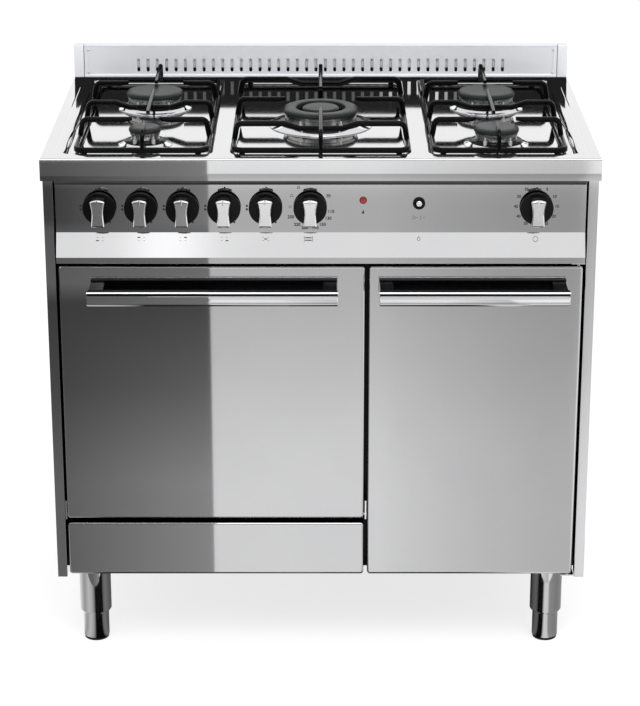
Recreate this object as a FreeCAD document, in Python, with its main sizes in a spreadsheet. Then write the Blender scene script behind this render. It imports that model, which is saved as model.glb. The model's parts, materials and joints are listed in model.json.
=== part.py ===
import FreeCAD, Part
import math
import os
import re
import Sketcher

# A free-standing cooker, 900 mm wide: gas hob with five burners, drop-down oven door,
# tall cupboard beside the oven, storage drawer below it and four levelling feet.
# Millimetres, +Z up, the front faces -Y, origin on the floor under the middle.

doc = FreeCAD.newDocument("RangeCooker")

# ---------------------------------------------------------------- driving dimensions

SIZES = {
    # whole cooker
    "cooker_width": 900,
    "hob_depth": 600,
    "hob_height": 880,
    "handle_overhang": 30,
    "side_inset": 2,
    "rear_overhang": 15,
    "sheet": 2,
    "thin_sheet": 1.5,
    "running_gap": 0.08,
    "loose_gap": 0.3,
    # hob and upstand
    "fascia_drop": 37,
    "well_depth": 6,
    "well_front_margin": 28,
    "well_back_margin": 47,
    "well_side_margin": 32,
    "well_strip_inner": 147,
    "well_strip_outer": 174,
    "well_corner": 14,
    "upstand_rise": 58,
    "upstand_depth": 20,
    "upstand_end": 20,
    "vent_width": 5.5,
    "vent_length": 24,
    "vent_rise": 9,
    "vent_pitch": 17,
    "vent_count": 40,
    # control panel
    "panel_setback": 11,
    "panel_side_gap": 4,
    "panel_face_rise": 89,
    "panel_slope_rise": 38,
    "panel_slope_reach": 16,
    "panel_lip_rise": 10,
    "spindle_hole_radius": 6,
    # front layout
    "door_setback": 15,
    "door_depth": 40,
    "door_gap": 4,
    "seal_gap": 6,
    "strip_width": 16,
    "strip_return": 22,
    "door_split": 75.75,
    "door_split_gap": 6.5,
    "cabinet_border": 20,
    "door_head_gap": 11,
    "door_foot_gap": 5,
    "drawer_front_rise": 95,
    "drawer_head_gap": 8.5,
    "drawer_front_depth": 20,
    # doors
    "liner_offset": 45,
    "liner_raise": 4,
    "hinge_setback": 8,
    "hinge_rise": 5,
    "hinge_pin_radius": 3,
    "hinge_plate": 2.4,
    "hinge_plate_rise": 32,
    "hinge_block": 16,
    # handles
    "bar_depth": 20,
    "bar_rise": 24,
    "bar_drop": 31,
    "bar_bracket_width": 24,
    "oven_bar_start": 49,
    "oven_bar_end": 44.5,
    "cabinet_bar_start": 16.5,
    "cabinet_bar_end": 23.5,
    # carcass
    "base_rise": 18,
    "drawer_mouth_gap": 8,
    "partition_sheet": 2,
    "rear_vent_count": 12,
    "rear_vent_pitch": 40,
    "rear_vent_start": 120,
    "rear_vent_length": 40,
    "rear_vent_radius": 3,
    # oven
    "oven_width": 417,
    "oven_rise": 336,
    "oven_depth": 412,
    "oven_centre_x": -177.5,
    "oven_floor_z": 302,
    "oven_flange": 14,
    "insulation": 25,
    "shelf_levels": 5,
    "shelf_pitch": 58,
    "shelf_first": 36,
    "wire_radius": 2.5,
    "rung_gap": 16,
    "rack_wire_radius": 3,
    "rack_bars": 19,
    "rack_inset": 3,
    "rack_depth": 360,
    "rack_level": 2,
    "tray_level": 1,
    "tray_drop": 32,
    "element_radius": 3.5,
    "element_margin": 50,
    "element_bend": 22,
    "grill_drop": 22,
    "floor_element_rise": 14,
    "lamp_inset": 50,
    "lamp_glass_radius": 22,
    "rack_front_gap": 20,
    # drawer
    "drawer_box_inset": 24,
    "drawer_box_rise": 63,
    "drawer_box_depth": 380,
    "drawer_floor_gap": 20,
    "runner_reach": 6,
    "runner_rail": 10,
    # feet
    "foot_height": 140,
    "foot_inset_x": 57,
    "foot_inset_front": 60,
    "foot_inset_back": 60,
    "sleeve_length": 88,
    "sleeve_radius": 27,
    "leg_radius": 22,
    "leg_overlap": 66,
    "pad_rise": 4,
    # gas and electric parts
    "tap_width": 26,
    "tap_rise": 28,
    "tap_depth": 40,
    "tap_setback": 10,
    "manifold_width": 16,
    "pipe_radius": 4,
    "pipe_level": 30,
    "inlet_radius": 10.5,
    "inlet_inset": 56,
    "inlet_thread": 12,
    "inlet_bore": 6.5,
    "switch_half": 24,
    "switch_depth": 44,
    "terminal_width": 70,
    "terminal_inset": 190,
    "terminal_depth": 30,
    "terminal_rise": 45,
    # burners: across from the middle, behind the hob's front edge, and cap radius
    "side_burner_x": 288,
    "rear_burner_depth": 369,
    "left_burner_depth": 114,
    "right_burner_depth": 114,
    "middle_burner_depth": 248,
    "rear_cap_radius": 49.5,
    "left_cap_radius": 26.5,
    "right_cap_radius": 37,
    "middle_cap_radius": 63.5,
    "cup_inset": 6,
    "ring_inset": 3,
    "crown_width": 22,
    "heart_radius": 27,
    "dish_rise": 10,
    "rear_dish_radius": 64,
    "left_dish_radius": 44,
    "right_dish_radius": 53,
    "middle_dish_radius": 88,
    "ring_rise": 13,
    "cap_rise": 8,
    "cup_drop": 36,
    "flame_slot": 2.2,
    "flame_slot_depth": 6,
    "flame_slots": 24,
    "rod_radius": 2.5,
    "rod_offset": 4,
    # pan supports
    "support_front": 40,
    "support_back": 543,
    "support_outer": 400,
    "support_inner": 180,
    "support_middle": 145,
    "support_corner": 18,
    "bar_width": 7,
    "bar_thick": 9,
    "support_foot": 4,
    "support_top": 35,
    "finger_bend": 12,
    "finger_shoulder": 14,
    "dip_half": 35,
    "dip_ramp": 24,
    "side_tip_overlap": 2,
    "rear_finger_shift": 28,
    "front_finger_shift": 22,
    "crossing_depth": 253,
    "rear_finger_tip": 30,
    "spine_rear_tip": 35,
    "spine_front_tip": 64,
    "front_finger_tip": 14,
    "middle_rear_bar": 180,
    "middle_front_bar": 139,
    "middle_finger_shift": 30,
    "middle_side_tip": 60,
    "middle_rear_tip": 104,
    "middle_front_tip": 45,
    # knobs and small controls
    "first_knob_x": -357,
    "knob_pitch": 67,
    "oven_knob_x": -17,
    "timer_knob_x": 348,
    "knob_drop": 84,
    "knob_gap": 5,
    "knob_disc_radius": 27,
    "knob_disc_depth": 5,
    "grip_depth": 30,
    "grip_rise": 46,
    "grip_width": 24,
    "grip_waist": 19,
    "notch_width": 3.6,
    "notch_length": 11,
    "spindle_radius": 4,
    "spindle_bore": 22,
    "push_travel": 4,
    "lamp_radius": 4.75,
    "lamp_x": 68.5,
    "lamp_drop": 72,
    "button_x": 158.5,
    "button_drop": 77,
    "button_ring_radius": 10,
    "button_radius": 6,
}

# Places worked out from the sizes, each named once.
PLACES = {
    "hob_front": "handle_overhang / 2 - hob_depth / 2",
    "hob_back": "handle_overhang / 2 + hob_depth / 2",
    "hob_half": "cooker_width / 2",
    "hob_sheet_z": "hob_height - sheet",
    "well_floor_z": "hob_height - well_depth",
    "skirt_z": "hob_height - fascia_drop",
    "well_outer": "hob_half - well_side_margin",
    "well_front": "hob_front + well_front_margin",
    "well_back": "hob_back - well_back_margin",
    "upstand_top_z": "hob_height + upstand_rise",
    "upstand_front": "hob_back - upstand_depth",
    "side_outer": "hob_half - side_inset",
    "side_inner": "side_outer - sheet",
    "strip_inner": "side_outer - strip_width",
    "body_back": "hob_back - rear_overhang",
    "door_front": "hob_front + door_setback",
    "door_back": "door_front + door_depth",
    "frame_face": "door_back + seal_gap",
    "frame_back": "frame_face + sheet",
    "door_outer": "strip_inner - door_gap",
    "oven_door_end": "door_split - door_split_gap / 2",
    "cabinet_door_start": "door_split + door_split_gap / 2",
    "panel_front": "hob_front + panel_setback",
    "panel_half": "strip_inner - panel_side_gap",
    "crease_z": "skirt_z - panel_face_rise",
    "slope_z": "crease_z - panel_slope_rise",
    "lip_z": "slope_z - panel_lip_rise",
    "slope_front": "panel_front - panel_slope_reach",
    "door_top_z": "lip_z - door_head_gap",
    "door_foot_z": "foot_height + door_foot_gap",
    "drawer_top_z": "door_foot_z + drawer_front_rise",
    "oven_door_z": "drawer_top_z + drawer_head_gap",
    "hinge_y": "door_front + hinge_setback",
    "oven_hinge_z": "oven_door_z + hinge_rise",
    "cabinet_hinge_x": "door_outer - hinge_setback + 1",
    "bar_top_z": "door_top_z - bar_drop",
    "bar_front": "hob_front - handle_overhang",
    "knob_z": "hob_height - knob_drop",
    "disc_back": "panel_front - knob_gap",
    "disc_front": "disc_back - knob_disc_depth",
    "grip_front": "disc_front - grip_depth",
    "oven_left": "oven_centre_x - oven_width / 2",
    "oven_right": "oven_centre_x + oven_width / 2",
    "oven_top_z": "oven_floor_z + oven_rise",
    "oven_back": "frame_face + oven_depth",
    "drawer_mid": "(oven_door_end - door_outer) / 2",
    "drawer_half": "(oven_door_end + door_outer) / 2 - drawer_box_inset",
    "drawer_floor_z": "door_foot_z + drawer_floor_gap",
    "rail_z": "drawer_floor_z + 22",
    "runner_back": "door_front + drawer_front_depth + drawer_box_depth",
    "tap_front": "panel_front + sheet + tap_setback",
    "tap_z": "knob_z - tap_rise / 2",
    "manifold_y": "tap_front + 14",
    "manifold_z": "tap_z - manifold_width",
    "pipe_z": "knob_z + pipe_level",
    "inlet_x": "side_outer - inlet_inset",
    "dish_z": "well_floor_z + dish_rise",
    "ring_z": "dish_z + ring_rise",
    "cap_z": "ring_z + cap_rise",
    "cup_z": "well_floor_z - cup_drop",
    "support_z": "well_floor_z + support_foot",
    "finger_z": "hob_height + support_top - bar_thick / 2",
    "foot_x": "side_outer - foot_inset_x",
    "foot_front": "door_front + foot_inset_front",
    "foot_back": "body_back - foot_inset_back",
    "sleeve_z": "foot_height - sleeve_length",
}

sheet = doc.addObject("Spreadsheet::Sheet", "Sizes")
for row, (alias, value) in enumerate(SIZES.items(), start=1):
    sheet.set(f"A{row}", alias)
    sheet.set(f"B{row}", str(value))
    sheet.setAlias(f"B{row}", alias)
doc.recompute()


def expression(text):
    """Spell out named sizes and places as cells of the Sizes sheet."""
    def spell(match):
        word = match.group(0)
        if word in SIZES:
            return "Sizes." + word
        if word in PLACES:
            return "(" + expression(PLACES[word]) + ")"
        return word
    return re.sub(r"[a-z][a-z_]*[a-z]", spell, str(text))


def number(text):
    """The present value of an expression, in millimetres."""
    value = sheet.evalExpression(expression(text))
    return float(getattr(value, "Value", value))


def bind(item, **properties):
    """Bind properties to expressions; two underscores stand for a dot."""
    for name, text in properties.items():
        item.setExpression(name.replace("__", "."), expression(text))


# ---------------------------------------------------------------- plain primitives

nodes = []
TURNS = {
    "x": FreeCAD.Rotation(FreeCAD.Vector(0, 1, 0), 90),
    "y": FreeCAD.Rotation(FreeCAD.Vector(1, 0, 0), -90),
    "z": FreeCAD.Rotation(),
}


def set_down(item, x, y, z, axis="z"):
    item.Placement = FreeCAD.Placement(FreeCAD.Vector(), TURNS[axis])
    bind(item, Placement__Base__x=x, Placement__Base__y=y, Placement__Base__z=z)
    return item


def box(name, x, y, z):
    """A box between (low, high) pairs of expressions."""
    item = doc.addObject("Part::Box", name)
    length, width, height = (f"({high}) - ({low})" for low, high in (x, y, z))
    bind(item, Length=length, Width=width, Height=height)
    return set_down(item, x[0], y[0], z[0])


def rod(name, axis, x, y, z, radius, length):
    """A cylinder that starts at a point and runs along +axis."""
    item = doc.addObject("Part::Cylinder", name)
    bind(item, Radius=radius, Height=length)
    return set_down(item, x, y, z, axis)


def fuse(name, pieces):
    item = doc.addObject("Part::MultiFuse", name)
    item.Shapes = pieces
    item.Refine = True
    return item


def cut(name, base, tools):
    item = doc.addObject("Part::Cut", name)
    item.Base = base
    item.Tool = tools[0] if len(tools) == 1 else fuse(name + "_tools", tools)
    return item


def group(name, pieces):
    """Separate solids that share one node."""
    item = doc.addObject("Part::Compound", name)
    item.Links = pieces
    return item


def shaped(name, shape):
    item = doc.addObject("Part::Feature", name)
    item.Shape = shape
    return item


def node(item, label):
    item.Label = label
    nodes.append(item)
    return item


# ---------------------------------------------------------------- sketched bodies

def body_named(name, x=None, y=None, z=None):
    body = doc.addObject("PartDesign::Body", name)
    if x is not None:
        bind(body, Placement__Base__x=x, Placement__Base__y=y, Placement__Base__z=z)
    return body


def sketch(body, role, level, outlines):
    """A sketch on the body's XY, XZ or YZ plane, moved to a level along the plane's world axis.

    An outline is a list of (across, up) corners, ("circle", across, up, radius)
    or ("slot", across, low, high, radius), all as expressions."""
    plane = next(f for f in body.Origin.OriginFeatures if f.Role == role + "_Plane")
    drawing = body.newObject("Sketcher::SketchObject", body.Name + "_sketch")
    drawing.AttachmentSupport = (plane, [""])
    drawing.MapMode = "FlatFace"
    sign = "-" if role == "XZ" else ""
    bind(drawing, AttachmentOffset__Base__z=f"{sign}({level})")
    for outline in outlines:
        if outline[0] == "circle":
            draw_circle(drawing, *outline[1:])
        elif outline[0] == "slot":
            draw_slot(drawing, *outline[1:])
        else:
            draw_corners(drawing, outline)
    return drawing


def pin_point(drawing, part, end, across, up):
    """Hold one point of the drawing at two expressions from its origin."""
    for kind, text in (("DistanceX", across), ("DistanceY", up)):
        index = drawing.addConstraint(Sketcher.Constraint(kind, -1, 1, part, end, number(text)))
        drawing.setExpression(f"Constraints[{index}]", expression(text))


def draw_circle(drawing, across, up, radius):
    centre = FreeCAD.Vector(number(across), number(up), 0)
    part = drawing.addGeometry(Part.Circle(centre, FreeCAD.Vector(0, 0, 1), number(radius)), False)
    pin_point(drawing, part, 3, across, up)
    index = drawing.addConstraint(Sketcher.Constraint("Radius", part, number(radius)))
    drawing.setExpression(f"Constraints[{index}]", expression(radius))


def draw_corners(drawing, corners):
    points = [FreeCAD.Vector(number(a), number(b), 0) for a, b in corners]
    first = drawing.GeometryCount
    for start, end in zip(points, points[1:] + points[:1]):
        drawing.addGeometry(Part.LineSegment(start, end), False)
    count = len(points)
    for place, (across, up) in enumerate(corners):
        before = first + (place - 1) % count
        drawing.addConstraint(Sketcher.Constraint("Coincident", before, 2, first + place, 1))
        pin_point(drawing, first + place, 1, across, up)


def draw_slot(drawing, across, low, high, radius):
    """An upright slot with round ends."""
    x, bottom, top, r = number(across), number(low), number(high), number(radius)

    def side_line(u):
        return drawing.addGeometry(Part.LineSegment(FreeCAD.Vector(u, bottom, 0), FreeCAD.Vector(u, top, 0)))

    def half_turn(v, start):
        circle = Part.Circle(FreeCAD.Vector(x, v, 0), FreeCAD.Vector(0, 0, 1), r)
        return drawing.addGeometry(Part.ArcOfCircle(circle, start, start + math.pi))

    left, right = side_line(x - r), side_line(x + r)
    head, foot = half_turn(top, 0), half_turn(bottom, math.pi)
    for side, sign in ((left, "-"), (right, "+")):
        pin_point(drawing, side, 1, f"{across} {sign} {radius}", low)
        pin_point(drawing, side, 2, f"{across} {sign} {radius}", high)
    drawing.addConstraint(Sketcher.Constraint("Coincident", head, 1, right, 2))
    drawing.addConstraint(Sketcher.Constraint("Coincident", foot, 1, left, 1))
    drawing.addConstraint(Sketcher.Constraint("Tangent", head, 2, left, 2))
    drawing.addConstraint(Sketcher.Constraint("Tangent", foot, 2, right, 1))


PAD_WAY = {"XY": "+z", "XZ": "-y", "YZ": "+x"}


def pad(body, role, level, outlines, length, way):
    feature = body.newObject("PartDesign::Pad", body.Name + "_pad")
    feature.Profile = sketch(body, role, level, outlines)
    bind(feature, Length=length)
    feature.Reversed = way != PAD_WAY[role]
    return feature


def pocket(body, role, level, outlines, length, way):
    """Cut outlines from a level, the given way, and make sure that something went."""
    doc.recompute()
    before = body.Shape.Volume
    feature = body.newObject("PartDesign::Pocket", body.Name + "_pocket")
    feature.Profile = sketch(body, role, level, outlines)
    bind(feature, Length=length)
    feature.Reversed = way == PAD_WAY[role]
    doc.recompute()
    if not body.Shape.Volume < before - 0.01:
        raise RuntimeError(f"a pocket of {body.Name} cuts nothing")
    return feature


def spin(body, corners):
    """A full turn of an outline of (radius, height) corners about the body's Z axis."""
    drawing = sketch(body, "XZ", "0", [corners])
    feature = body.newObject("PartDesign::Revolution", body.Name + "_spin")
    feature.Profile = drawing
    feature.ReferenceAxis = (drawing, ["V_Axis"])
    feature.Angle = 360
    return feature


def edges_along(body, test):
    """Names of the straight edges of a body whose two ends pass a test."""
    names = []
    for place, edge in enumerate(body.Shape.Edges, start=1):
        if len(edge.Vertexes) == 2 and test(edge.Vertexes[0].Point, edge.Vertexes[1].Point):
            names.append(f"Edge{place}")
    return names


def fillet(body, names, radius):
    base = body.Tip
    feature = body.newObject("PartDesign::Fillet", body.Name + "_fillet")
    feature.Base = (base, names)
    bind(feature, Radius=radius)
    doc.recompute()
    return feature


def rectangle(left, low, right, high):
    return [(left, low), (right, low), (right, high), (left, high)]


# ---------------------------------------------------------------- bent bars and pipes

def bent_path(points, bend):
    """Straight runs through the points, joined by tangent arcs no larger than the runs allow."""
    points = [FreeCAD.Vector(*p) for p in points]
    edges = []
    start = points[0]
    for before, corner, after in zip(points, points[1:], points[2:]):
        inward = (before - corner).normalize()
        outward = (after - corner).normalize()
        turn = math.pi - inward.getAngle(outward)
        room = 0.45 * min((before - corner).Length, (after - corner).Length)
        radius = min(bend, room / math.tan(turn / 2))
        reach = radius * math.tan(turn / 2)
        middle_way = (inward + outward).normalize()
        middle = corner + middle_way * (radius / math.cos(turn / 2) - radius)
        arc_start = corner + inward * reach
        arc_end = corner + outward * reach
        edges.append(Part.LineSegment(start, arc_start).toShape())
        edges.append(Part.Arc(arc_start, middle, arc_end).toShape())
        start = arc_end
    edges.append(Part.LineSegment(start, points[-1]).toShape())
    return Part.Wire(edges)


def pipe(points, radius, bend):
    path = bent_path(points, bend)
    way = path.Edges[0].tangentAt(path.Edges[0].FirstParameter)
    ring = Part.Wire(Part.Circle(FreeCAD.Vector(*points[0]), way, radius).toShape())
    return path.makePipeShell([ring], True, False)


def flat_bar(points, width, thick, bend):
    """A bar of upright oblong section along a path in an upright plane."""
    path = bent_path(points, bend)
    way = path.Edges[0].tangentAt(path.Edges[0].FirstParameter)
    first = FreeCAD.Vector(*points[0])
    last = FreeCAD.Vector(*points[-1])
    level = FreeCAD.Vector(last.x - first.x, last.y - first.y, 0).normalize()
    across = level.cross(FreeCAD.Vector(0, 0, 1)) * (width / 2)
    rise = across.cross(way).normalize() * (thick / 2)
    corners = [first + across + rise, first - across + rise, first - across - rise, first + across - rise]
    section = Part.makePolygon(corners + corners[:1])
    return path.makePipeShell([section], True, False)


# ---------------------------------------------------------------- hob

BURNERS = {
    # name: across, from front to back, cap radius
    "rear_left": ("-side_burner_x", "hob_front + rear_burner_depth", "rear_cap_radius"),
    "front_left": ("-side_burner_x", "hob_front + left_burner_depth", "left_cap_radius"),
    "middle": ("0", "hob_front + middle_burner_depth", "middle_cap_radius"),
    "rear_right": ("side_burner_x", "hob_front + rear_burner_depth", "rear_cap_radius"),
    "front_right": ("side_burner_x", "hob_front + right_burner_depth", "right_cap_radius"),
}
ROD_TURNS = (-60, 240)


def grown(outline, margin):
    """A rectangle's corners moved outwards by a margin."""
    signs = (("-", "-"), ("+", "-"), ("+", "+"), ("-", "+"))
    return [(f"{a} {sa} {margin}", f"{b} {sb} {margin}") for (a, b), (sa, sb) in zip(outline, signs)]


def build_hob():
    """Pressed steel hob: three shallow wells, skirts all round and a hole for each burner."""
    body = body_named("HobTop")
    pad(body, "XY", "skirt_z", [rectangle("-hob_half", "hob_front", "hob_half", "hob_back")],
        "fascia_drop", "+z")
    wells = [
        rectangle("-well_outer", "well_front", "-well_strip_outer", "well_back"),
        rectangle("-well_strip_inner", "well_front", "well_strip_inner", "well_back"),
        rectangle("well_strip_outer", "well_front", "well_outer", "well_back"),
    ]
    pocket(body, "XY", "hob_height", wells, "well_depth", "-z")
    doc.recompute()
    floor = number("well_floor_z")
    top = number("hob_height")
    upright = edges_along(body, lambda a, b: {round(a.z, 3), round(b.z, 3)} == {floor, top}
                          and abs(a.x - b.x) + abs(a.y - b.y) < 0.01)
    fillet(body, upright, "well_corner")
    inside = rectangle("-hob_half + sheet", "hob_front + sheet", "hob_half - sheet", "hob_back - sheet")
    pocket(body, "XY", "skirt_z", [inside], "fascia_drop - well_depth - sheet", "+z")
    islands = [grown(well, "sheet") for well in wells]
    pocket(body, "XY", "well_floor_z - sheet", [inside] + islands, "well_depth", "+z")
    holes = [("circle", x, y, f"{radius} - cup_inset + loose_gap") for x, y, radius in BURNERS.values()]
    pocket(body, "XY", "hob_height", holes, "well_depth + sheet + 1", "-z")
    node(body, "hob_top")


def build_upstand():
    """Vented upstand along the back, with a plain box at each end."""
    middle = body_named("Upstand")
    end = "hob_half - upstand_end"
    profile = [
        ("upstand_front", "hob_height"), ("upstand_front", "upstand_top_z"), ("hob_back", "upstand_top_z"),
        ("hob_back", "hob_height"), ("hob_back - sheet", "hob_height"),
        ("hob_back - sheet", "upstand_top_z - sheet"), ("upstand_front + sheet", "upstand_top_z - sheet"),
        ("upstand_front + sheet", "hob_height"),
    ]
    pad(middle, "YZ", f"-({end})", [profile], f"2 * ({end})", "+x")
    low = "hob_height + vent_rise + vent_width / 2"
    high = "hob_height + vent_rise + vent_length - vent_width / 2"
    vent = ("slot", "-vent_pitch * (vent_count - 1) / 2", low, high, "vent_width / 2")
    first = pocket(middle, "XZ", "upstand_front", [vent], "sheet + 1", "+y")
    row = middle.newObject("PartDesign::LinearPattern", "Upstand_vents")
    row.Originals = [first]
    row.Direction = (first.Profile[0], ["H_Axis"])
    bind(row, Length="vent_pitch * (vent_count - 1)", Occurrences="vent_count")
    middle.Tip = row
    pieces = [middle]
    cap_width = "(upstand_end - side_inset / 2)"
    for side, sign in (("Left", "-"), ("Right", "")):
        cap = body_named(side + "EndCap")
        near, far = f"{sign}({end})", f"{sign}({end} + {cap_width})"
        low_x, high_x = (far, near) if sign else (near, far)
        pad(cap, "YZ", low_x, [rectangle("upstand_front", "hob_height", "hob_back", "upstand_top_z")],
            cap_width, "+x")
        hollow = rectangle(f"{low_x} + sheet", "upstand_front + sheet",
                           f"{high_x} - sheet", "hob_back - sheet")
        pocket(cap, "XY", "hob_height", [hollow], "upstand_rise - sheet", "+z")
        pieces.append(cap)
    node(group("UpstandPieces", pieces), "rear_upstand")


def cap_outline(radius, inner):
    """Half section of a burner cap: flat top, sloped rim and a short straight edge."""
    return [(inner, "ring_z"), (radius, "ring_z"), (radius, "cap_z - 3"), (f"{radius} - 2.5", "cap_z - 1"),
            (f"{radius} - 8", "cap_z"), (inner, "cap_z")]


def ring_outline(radius, crown):
    """Half section of a flame ring; the crown has a hollow between its rim and its heart."""
    wall = f"{radius} - ring_inset"
    if not crown:
        return [("0", "dish_z"), (wall, "dish_z"), (wall, "ring_z"), ("0", "ring_z")]
    hollow = f"{radius} - crown_width + 2"
    return [
        ("0", "dish_z"), (wall, "dish_z"), (wall, "ring_z"), (hollow, "ring_z"), (hollow, "dish_z + 4"),
        ("heart_radius", "dish_z + 4"), ("heart_radius", "ring_z + 1"), ("0", "ring_z + 1"),
    ]


def burner_cup(title, place, radius, dish):
    """Cup through the hob with a flared dish, and a seat and a rod for each probe."""
    cup = body_named(title + "Cup", **place)
    spin(cup, [
        ("0", "cup_z"), (f"{radius} - cup_inset - 4", "cup_z"), (f"{radius} - cup_inset", "cup_z + 6"),
        (f"{radius} - cup_inset", "well_floor_z"), (dish, "well_floor_z"),
        (dish, "well_floor_z + 1.5"), (f"{radius} - 1", "dish_z"), ("0", "dish_z"),
    ])
    seats, rods = [], []
    for turn in ROD_TURNS:
        reach = f"({radius} + rod_offset)"
        across = f"{reach} * {math.cos(math.radians(turn)):.6f}"
        along = f"{reach} * {math.sin(math.radians(turn)):.6f}"
        seats.append(("circle", across, along, "rod_radius + loose_gap"))
        rods.append(rod(title + "Rod", "z", f"{place['x']} + {across}", f"{place['y']} + {along}",
                        "well_floor_z", "rod_radius", "dish_rise + ring_rise - 3"))
    pocket(cup, "XY", "dish_z", seats, "dish_rise", "-z")
    return cup, rods


def flame_ring(title, place, radius, crown):
    ring = body_named(title + "Ring", **place)
    spin(ring, ring_outline(radius, crown))
    edge = f"{radius} - ring_inset"
    notch = rectangle(f"{edge} - flame_slot_depth", "-flame_slot / 2", f"{edge} + 1", "flame_slot / 2")
    slot = pocket(ring, "XY", "ring_z", [notch], "ring_rise - 6", "-z")
    pattern = ring.newObject("PartDesign::PolarPattern", ring.Name + "_slots")
    pattern.Originals = [slot]
    pattern.Axis = (slot.Profile[0], ["N_Axis"])
    pattern.Angle = 360
    bind(pattern, Occurrences="flame_slots")
    ring.Tip = pattern
    return ring


def build_burners():
    """Cup through the hob, slotted flame ring and enamelled cap for each of the five burners."""
    cups, rings, caps, rods = [], [], [], []
    for name, (x, y, radius) in BURNERS.items():
        place = {"x": x, "y": y, "z": "0"}
        title = name.title().replace("_", "")
        crown = name == "middle"
        cup, cup_rods = burner_cup(title, place, radius, radius.replace("cap", "dish"))
        cups.append(cup)
        rods += cup_rods
        rings.append(flame_ring(title, place, radius, crown))
        cap = body_named(title + "Cap", **place)
        spin(cap, cap_outline(radius, f"{radius} - crown_width" if crown else "0"))
        caps.append(cap)
        if crown:
            heart = body_named(title + "HeartCap", **place)
            rim = "heart_radius + 4"
            spin(heart, [("0", "ring_z + 1"), (rim, "ring_z + 1"), (rim, "cap_z - 2"),
                         (f"{rim} - 3", "cap_z"), ("0", "cap_z")])
            caps.append(heart)
    node(group("BurnerCups", cups), "burner_cups")
    node(group("FlameRings", rings), "flame_rings")
    node(group("BurnerCaps", caps), "burner_caps")
    node(group("Rods", rods), "igniters_and_probes")


def support_frame(left, right, front, back, low):
    """Rounded oblong frame of a pan support, with a foot under each corner."""
    width, thick = number("bar_width"), number("bar_thick")
    corner = number("support_corner")
    outer = Part.makeBox(right - left, back - front, thick, FreeCAD.Vector(left, front, low))
    inner = Part.makeBox(right - left - 2 * width, back - front - 2 * width, thick,
                         FreeCAD.Vector(left + width, front + width, low))
    outer = outer.makeFillet(corner, [e for e in outer.Edges if e.Length < thick + 0.01])
    inner = inner.makeFillet(corner - width, [e for e in inner.Edges if e.Length < thick + 0.01])
    feet = []
    for x in (left + corner, right - corner):
        for y in (front + width / 2, back - width / 2):
            feet.append(Part.makeCylinder(width * 0.7, low - number("well_floor_z") + 1,
                                          FreeCAD.Vector(x, y, number("well_floor_z"))))
    return outer.cut(inner), feet


def finger(way, level, start, end, low, high, dip=None):
    """A bar that leaves the frame, rises over a rounded shoulder and runs level.

    way is the axis it runs along and level its place on the other one; with both ends
    on the frame, dip is (middle, half width, drop) of the sag under the crossing bar."""
    width, thick = number("bar_width"), number("bar_thick")
    shoulder, ramp = number("finger_shoulder"), number("dip_ramp")
    sign = 1 if end > start else -1
    line = [(start, low + thick / 2), (start + sign * 3, low + thick), (start + sign * shoulder, high)]
    if dip:
        middle, half, drop = dip
        line += [(middle - sign * (half + ramp), high), (middle - sign * half, high - drop),
                 (middle + sign * half, high - drop), (middle + sign * (half + ramp), high),
                 (end - sign * shoulder, high), (end - sign * 3, low + thick), (end, low + thick / 2)]
    else:
        line.append((end, high))
    points = [(u, level, z) if way == "x" else (level, u, z) for u, z in line]
    return flat_bar(points, width, thick, number("finger_bend"))


def side_support(side, sign, low, high, front, back, dip_depth):
    """Pan support over a pair of side burners: fingers from all sides and a bar between the two."""
    edge = number("bar_width") / 2
    tip = number("side_tip_overlap")
    near, far = sorted((sign * number("support_inner"), sign * number("support_outer")))
    ring, feet = support_frame(near, far, front, back, low)
    a, b = near + edge, far - edge
    x, rear_y, rear_radius = (number(text) for text in BURNERS["rear_" + side])
    fore_y, fore_radius = (number(text) for text in BURNERS["front_" + side][1:])
    rear_bar = rear_y + number("rear_finger_shift")
    fore_bar = fore_y + number("front_finger_shift")
    spine = [(x, fore_y + number("spine_front_tip"), high), (x, rear_y - number("spine_rear_tip"), high)]
    bars = [
        finger("x", rear_bar, a, x - rear_radius + tip, low, high),
        finger("x", rear_bar, b, x + rear_radius - tip, low, high),
        finger("x", number("hob_front + crossing_depth"), a, b, low, high,
               dip=(x, number("dip_half"), dip_depth)),
        finger("x", fore_bar, a, x - fore_radius + 2 * tip, low, high),
        finger("x", fore_bar, b, x + fore_radius - 2 * tip, low, high),
        finger("y", x, back - edge, rear_y + number("rear_finger_tip"), low, high),
        flat_bar(spine, number("bar_width"), number("bar_thick"), 1),
        finger("y", x, front + edge, fore_y - number("front_finger_tip"), low, high),
    ]
    node(shaped("Support" + side.title(), ring.fuse(feet + bars).removeSplitter()), side + "_pan_support")


def build_supports():
    """Three lift-off pan supports of black bar: one over each pair of burners, one in the middle."""
    low, high = number("support_z"), number("finger_z")
    front, back = number("hob_front + support_front"), number("hob_front + support_back")
    edge = number("bar_width") / 2
    dip_depth = number("bar_thick") - 1
    side_support("left", -1, low, high, front, back, dip_depth)
    side_support("right", 1, low, high, front, back, dip_depth)
    half = number("support_middle")
    ring, feet = support_frame(-half, half, front, back, low)
    a, b = -half + edge, half - edge
    x, y = (number(text) for text in BURNERS["middle"][:2])
    dip = (x, number("dip_half"), dip_depth)
    side_bar = y + number("middle_finger_shift")
    side_tip = number("middle_side_tip")
    bars = [
        finger("x", y + number("middle_rear_bar"), a, b, low, high, dip=dip),
        finger("x", y - number("middle_front_bar"), a, b, low, high, dip=dip),
        finger("x", side_bar, a, x - side_tip, low, high),
        finger("x", side_bar, b, x + side_tip, low, high),
        finger("y", x, back - edge, y + number("middle_rear_tip"), low, high),
        finger("y", x, front + edge, y - number("middle_front_tip"), low, high),
    ]
    node(shaped("SupportMiddle", ring.fuse(feet + bars).removeSplitter()), "middle_pan_support")


# ---------------------------------------------------------------- casing

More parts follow.
